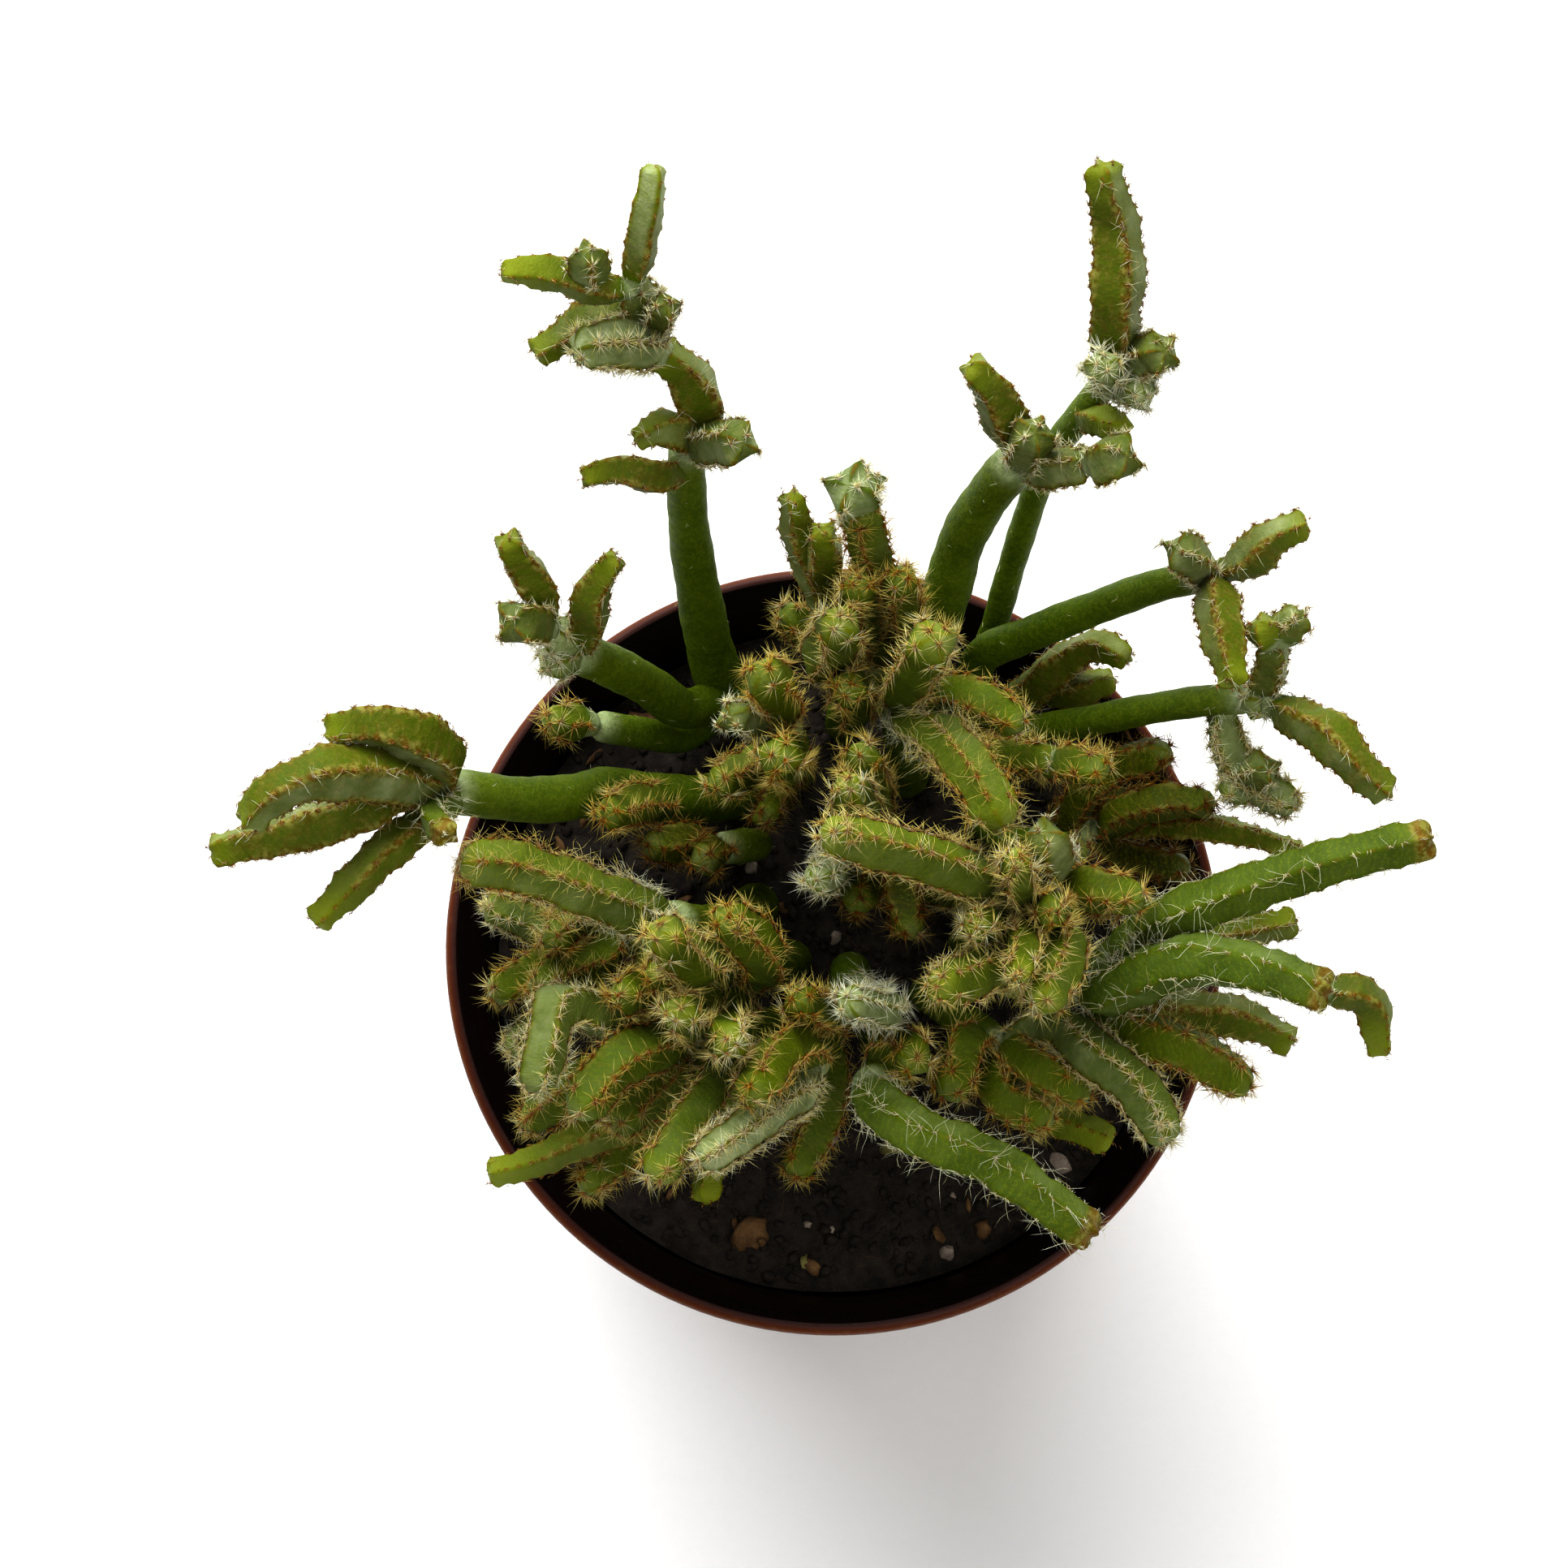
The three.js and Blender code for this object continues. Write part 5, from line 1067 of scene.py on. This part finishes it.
# The shades of skin, bristles and pot, as they look on a screen, from 0 to 255.
SHADES = {
    "deep green": (58, 76, 0),
    "leaf green": (82, 100, 0),
    "fresh green": (62, 88, 2),
    "shaded green": (30, 36, 2),
    "young green": (136, 144, 16),
    "olive": (92, 80, 4),
    "wax": (160, 170, 126),
    "cross line": (140, 152, 26),
    "freckle": (124, 132, 12),
    "brown rib": (98, 76, 12),
    "straw rib": (142, 136, 66),
    "areole": (116, 72, 8),
    "pale neck": (160, 172, 128),
    "brown gold": (156, 100, 0),
    "bright gold": (192, 152, 12),
    "white bristle": (210, 214, 180),
    "bristle root": (132, 62, 0),
    "white tip": (240, 242, 222),
    "straw tip": (232, 220, 110),
    "tan": (166, 120, 30),
    "withered and painted shade": (84, 56, 14),
    "dark plastic": (96, 48, 16),
    "brown plastic": (104, 53, 20),
    "dust": (146, 98, 54),
    "painted rim shade": (62, 18, 6),
    "painted inner shade": (9, 5, 5),
}

# The materials of what lies in and under the pot: two shades, the flecks on them, roughness and depth of grain.
EARTHS = {
    "peat": ((24, 19, 15), (42, 34, 26), (70, 54, 36), 0.95, 0.9),
    "peat_fibre": ((60, 40, 24), (96, 68, 44), (120, 90, 60), 0.85, 0.4),
    "bark": ((84, 58, 32), (118, 88, 52), (50, 34, 20), 0.85, 0.7),
    "straw": ((112, 108, 56), (136, 130, 78), (80, 72, 40), 0.8, 0.4),
    "perlite": ((128, 114, 102), (160, 146, 132), (90, 76, 66), 0.9, 0.6),
    "pale_floor": ((248, 248, 248), (250, 250, 250), (246, 246, 246), 0.9, 0.02),
}


def light_of(screen):
    """A shade as it looks on a screen, turned into light."""
    return tuple(((c / 255 + 0.055) / 1.055) ** 2.4 if c > 10 else c / 255 / 12.92 for c in screen) + (1,)


def shade(name):
    return light_of(SHADES[name])


def wire(node, values):
    """Sets the inputs of a node to values, or links them to the outputs of other nodes."""
    for key, value in values.items():
        if isinstance(value, bpy.types.NodeSocket):
            node.id_data.links.new(value, node.inputs[key])
        else:
            node.inputs[key].default_value = value
    return node


def add(tree, kind, values=None, **settings):
    """A new node with its settings, its values and its links."""
    node = tree.nodes.new(kind)
    for key, value in settings.items():
        setattr(node, key, value)
    return wire(node, values or {})


def mix(share, one, other):
    """One shade with the other laid over it."""
    return add(share.id_data, "ShaderNodeMix", {0: share, 6: one, 7: other}, data_type="RGBA").outputs[2]


def calc(operation, *values, clamp=False):
    """A sum of values. The first comes from a node."""
    tree = values[0].id_data
    return add(tree, "ShaderNodeMath", dict(enumerate(values)), operation=operation, use_clamp=clamp).outputs[0]


def times(one, other, clamp=False):
    return calc("MULTIPLY", one, other, clamp=clamp)


def scaled(value, by, plus, clamp=False):
    return calc("MULTIPLY_ADD", value, by, plus, clamp=clamp)


def from_middle(value):
    """How far a value is from the middle between two whole numbers."""
    return calc("ABSOLUTE", calc("SUBTRACT", calc("FRACT", value), 0.5))


def ramp(value, low, high):
    """0 below low, 1 above high and smooth between."""
    return add(value.id_data, "ShaderNodeMapRange", {"Value": value, "From Min": low, "From Max": high},
               interpolation_type="SMOOTHSTEP").outputs["Result"]


def marks(tree, name):
    """The three values that a piece's points carry under a name."""
    carried = add(tree, "ShaderNodeAttribute", attribute_name=name).outputs["Vector"]
    return add(tree, "ShaderNodeSeparateXYZ", {0: carried}).outputs


def new_group(name, values, output, kind):
    """A node group that takes numbers and puts out one thing."""
    group = bpy.data.node_groups.new(name, "ShaderNodeTree")
    for label, value in values.items():
        group.interface.new_socket(label, in_out="INPUT", socket_type="NodeSocketFloat").default_value = value
    group.interface.new_socket(output, in_out="OUTPUT", socket_type=kind)
    return group, group.nodes.new("NodeGroupInput").outputs, group.nodes.new("NodeGroupOutput")


def patches_group():
    """Uneven patches over a surface, from 0 to 1. Size is how many there are in a metre."""
    group, given, out = new_group("patches", dict(Size=200.0, Low=0.35, High=0.65, Detail=4.0), "Mask",
                                  "NodeSocketFloat")
    where = group.nodes.new("ShaderNodeTexCoord").outputs["Object"]
    noise = add(group, "ShaderNodeTexNoise", {"Vector": where, "Scale": given["Size"], "Detail": given["Detail"],
                                              "Roughness": 0.6}).outputs["Fac"]
    mask = add(group, "ShaderNodeMapRange", {"Value": noise, "From Min": given["Low"], "From Max": given["High"]})
    wire(out, {"Mask": mask.outputs["Result"]})
    return group


def grain_group():
    """A fine uneven skin: a coarse and a fine layer of lumps, put out as a normal."""
    group, given, out = new_group("grain", dict(Coarse=900.0, Fine=4000.0, Height=0.0, Strength=0.3), "Normal",
                                  "NodeSocketVector")
    where = group.nodes.new("ShaderNodeTexCoord").outputs["Object"]
    coarse, fine = (add(group, "ShaderNodeTexNoise", {"Vector": where, "Scale": given[size], "Detail": detail})
                    for size, detail in (("Coarse", 3.0), ("Fine", 2.0)))
    height = calc("ADD", scaled(fine.outputs["Fac"], 0.35, coarse.outputs["Fac"]), given["Height"])
    bump = add(group, "ShaderNodeBump", {"Height": height, "Strength": given["Strength"], "Distance": 0.0003})
    wire(out, {"Normal": bump.outputs["Normal"]})
    return group


PATCHES = patches_group()
GRAIN = grain_group()


def patches(tree, **values):
    return add(tree, "ShaderNodeGroup", values, node_tree=PATCHES).outputs[0]


def grain(tree, **values):
    return add(tree, "ShaderNodeGroup", values, node_tree=GRAIN).outputs[0]


def new_material(name, **constants):
    """A material with its principled shader, whose even values are set on the shader itself."""
    material = bpy.data.materials.new(name)
    material.use_nodes = True
    shader = material.node_tree.nodes["Principled BSDF"]
    wire(shader, {key.replace("_", " "): value for key, value in constants.items()})
    return material, material.node_tree, shader


def skin_material():
    """Green skin: olive ribs, wax and painted sheen, cross lines, areoles, yellow tips, pale necks, painted shade."""
    material, tree, shader = new_material(
        "cactus_skin", Roughness=0.5, Specular_IOR_Level=0.08, Subsurface_Weight=0.1, Subsurface_Scale=0.0012,
        Subsurface_Radius=(0.6, 1.0, 0.3))
    rib, beads, ripe = marks(tree, "mark")
    youth, grey, tone_and_painted_shade = marks(tree, "look")
    rust = calc("MAXIMUM", ripe, 0.0)
    neck = times(ripe, -1.0, clamp=True)
    tough = scaled(rust, 2.0, -1.5, clamp=True)
    face = ramp(rib, 0.9, 0.1)
    broad = patches(tree, Size=160.0)
    small = patches(tree, Size=1000.0, Low=0.36, High=0.64)
    freckle = patches(tree, Size=3200.0, Low=0.58, High=0.7, Detail=1.0)
    blotch = patches(tree, Size=1500.0, Low=0.42, High=0.58, Detail=2.0)
    green = mix(broad, shade("deep green"), shade("leaf green"))
    green = mix(times(tone_and_painted_shade, 0.5, clamp=True), green, shade("fresh green"))
    # Painted shade: shoots that lie in the shade of the others are darkened towards shaded green.
    green = mix(times(tone_and_painted_shade, -0.8, clamp=True), green, shade("shaded green"))
    green = mix(times(scaled(small, 0.45, 0.1), tough), green, shade("olive"))
    green = mix(youth, green, shade("young green"))
    # Wax bloom on the faces, with a painted sheen on one face in two.
    bloom_and_sheen = times(times(grey, scaled(broad, 0.45, 0.3)), face)
    bloom_and_sheen = times(bloom_and_sheen, scaled(small, 0.5, 0.6), clamp=True)
    green = mix(bloom_and_sheen, green, shade("wax"))
    line = from_middle(scaled(small, 0.8, times(beads, 2.0)))
    line = times(times(ramp(line, 0.3, 0.5), face), scaled(tough, -0.6, 1.0))
    green = mix(times(line, 0.18), green, shade("cross line"))
    green = mix(times(freckle, 0.25), green, shade("freckle"))
    crest = ramp(scaled(times(small, rust), 0.5, rib), 0.25, 1.25)
    crest = times(crest, scaled(tough, 0.7, 0.1), clamp=True)
    green = mix(crest, green, mix(blotch, shade("brown rib"), shade("straw rib")))
    areole = times(ramp(from_middle(beads), 0.34, 0.1), ramp(rib, 0.5, 1.0))
    spot = times(areole, times(rust, 1.6, clamp=True))
    green = mix(times(spot, 0.55), green, shade("areole"))
    green = mix(times(neck, scaled(small, 0.5, 0.4)), green, shade("pale neck"))
    normal = grain(tree, Coarse=1100.0, Fine=4200.0, Height=times(line, -0.25), Strength=0.45)
    wire(shader, {"Base Color": green, "Roughness": scaled(small, 0.16, 0.46), "Normal": normal})
    return material


def bristle_material():
    """Bristles from white to golden, darker at the root, paler at the tip, browned by painted shade and withering."""
    material, tree, shader = new_material("bristle", Roughness=0.5, Specular_IOR_Level=0.06)
    gold, height, chance = marks(tree, "mark")
    golden = mix(calc("MAXIMUM", chance, 0.0), shade("brown gold"), shade("bright gold"))
    body = mix(gold, shade("white bristle"), golden)
    body = mix(times(ramp(height, 0.7, 0.0), gold, clamp=True), body, shade("bristle root"))
    tip = times(ramp(height, 0.2, 0.8), scaled(gold, -0.4, 1.0, clamp=True))
    body = mix(tip, body, mix(times(gold, 2.5, clamp=True), shade("white tip"), shade("straw tip")))
    body = mix(times(patches(tree, Size=500.0), 0.15), body, shade("tan"))
    # Painted shade on the bristles of shoots in the shade of the others, and real withering on some short ones.
    body = mix(times(chance, -0.7, clamp=True), body, shade("withered and painted shade"))
    wire(shader, {"Base Color": body, "Normal": grain(tree, Coarse=3000.0, Fine=9000.0, Strength=0.15)})
    return material


def pot_material():
    """Brown plastic with painted shade: dark red over the lip but for its lit outer edge, and nearly black inside."""
    material, tree, shader = new_material("brown_plastic", Roughness=0.5, Specular_IOR_Level=0.14)
    dust = patches(tree, Size=700.0, Low=0.55, High=0.72)
    place = tree.nodes.new("ShaderNodeTexCoord").outputs["Object"]
    x, y, z = add(tree, "ShaderNodeSeparateXYZ", {0: place}).outputs
    flat = add(tree, "ShaderNodeCombineXYZ", {"X": x, "Y": y}).outputs[0]
    out = add(tree, "ShaderNodeVectorMath", {0: flat}, operation="LENGTH").outputs["Value"]
    brown = mix(patches(tree, Size=45.0), shade("dark plastic"), shade("brown plastic"))
    high = ramp(z, (POT_HEIGHT - 5) * MM, POT_HEIGHT * MM)
    brown = mix(times(dust, scaled(high, 0.25, 0.08)), brown, shade("dust"))

    # The inside, where painted shade makes it nearly black, is where a point lies further in than the middle of the
    # wall, or under the slope of the lip.
    ledge = POT_HEIGHT - LIP_HEIGHT - 0.6
    wall = scaled(z, (RIM_RADIUS - LIP_WIDTH - BASE_RADIUS) / POT_HEIGHT, (BASE_RADIUS - WALL) * MM)
    slope = scaled(z, 0.65, (inner_radius(ledge) - 0.65 * ledge) * MM)
    deep = ramp(calc("SUBTRACT", out, calc("MAXIMUM", wall, slope)), 0.6 * MM, 0.3 * MM)
    # Painted shade over the top of the lip: dark red inward of a thin outer edge that is left lit.
    top = ramp(z, (POT_HEIGHT - 2.2) * MM, (POT_HEIGHT - 1.2) * MM)
    red = times(ramp(out, (RIM_RADIUS - 0.05) * MM, (RIM_RADIUS - 0.8) * MM), top)
    brown = mix(times(red, 0.9), brown, shade("painted rim shade"))
    # Painted shade: the inner part of the lip's top and the inside wall go nearly black.
    inside = times(ramp(out, (RIM_RADIUS - 0.5) * MM, (RIM_RADIUS - 1.5) * MM), top)
    brown = mix(times(calc("MAXIMUM", inside, deep), 0.97), brown, shade("painted inner shade"))
    rings = times(calc("SINE", times(z, 9000.0)), 0.05)
    normal = grain(tree, Coarse=500.0, Fine=2600.0, Height=rings, Strength=0.22)
    wire(shader, {"Base Color": brown, "Roughness": scaled(dust, 0.2, 0.4), "Normal": normal})
    return material


def earth_material(name, one, other, fleck, roughness, strength):
    """Peat, bark, straw and perlite: two shades in patches, with flecks and a rough grain."""
    material, tree, shader = new_material(name, Roughness=roughness, Specular_IOR_Level=0.25)
    patch = patches(tree, Size=600.0)
    spots = times(patches(tree, Size=2600.0, Low=0.6, High=0.72), 0.6)
    body = mix(spots, mix(patch, light_of(one), light_of(other)), light_of(fleck))
    normal = grain(tree, Coarse=1500.0, Fine=5000.0, Strength=strength)
    wire(shader, {"Base Color": body, "Roughness": scaled(patch, -0.15, roughness), "Normal": normal})
    return material


# ---- The studio ----


def point_at(thing, place, aim):
    thing.location = Vector(place) * MM
    thing.rotation_euler = (Vector(aim) - Vector(place)).to_track_quat("-Z", "Y").to_euler()
    bpy.context.scene.collection.objects.link(thing)


def make_camera():
    data = bpy.data.cameras.new("camera")
    data.lens = LENS
    data.sensor_width = 36
    data.clip_start, data.clip_end = 0.01, 20
    camera = bpy.data.objects.new("camera", data)
    point_at(camera, EYE, AIM)
    bpy.context.scene.camera = camera


def make_light(name, place, size, power, tint):
    data = bpy.data.lights.new(name, "AREA")
    data.shape = "DISK"
    data.size = size * MM
    data.energy = power
    data.color = tint
    point_at(bpy.data.objects.new(name, data), place, (0, 0, 80))


def make_studio(material):
    floor = primitive(bpy.ops.mesh.primitive_plane_add, size=6)
    floor.name = "pale_floor"
    floor.data.materials.append(material)
    make_light("window", (-180, 600, 620), 1000, 16, (0.98, 0.99, 1.0))
    make_light("lamp", (200, -260, 820), 700, 3.4, (1.0, 0.98, 0.94))
    world = bpy.data.worlds.new("studio")
    bpy.context.scene.world = world
    world.use_nodes = True
    wire(world.node_tree.nodes["Background"], {"Color": (0.96, 0.98, 1.0, 1), "Strength": 0.3})
    bpy.context.scene.view_settings.view_transform = "Standard"
    bpy.context.scene.view_settings.gamma = 0.85


make_camera()
earths = {name: earth_material(name, *row) for name, row in EARTHS.items()}
make_studio(earths["pale_floor"])
make_pot(pot_material())
make_soil(earths["peat"])
make_litter(earths)
make_plant(skin_material(), bristle_material())
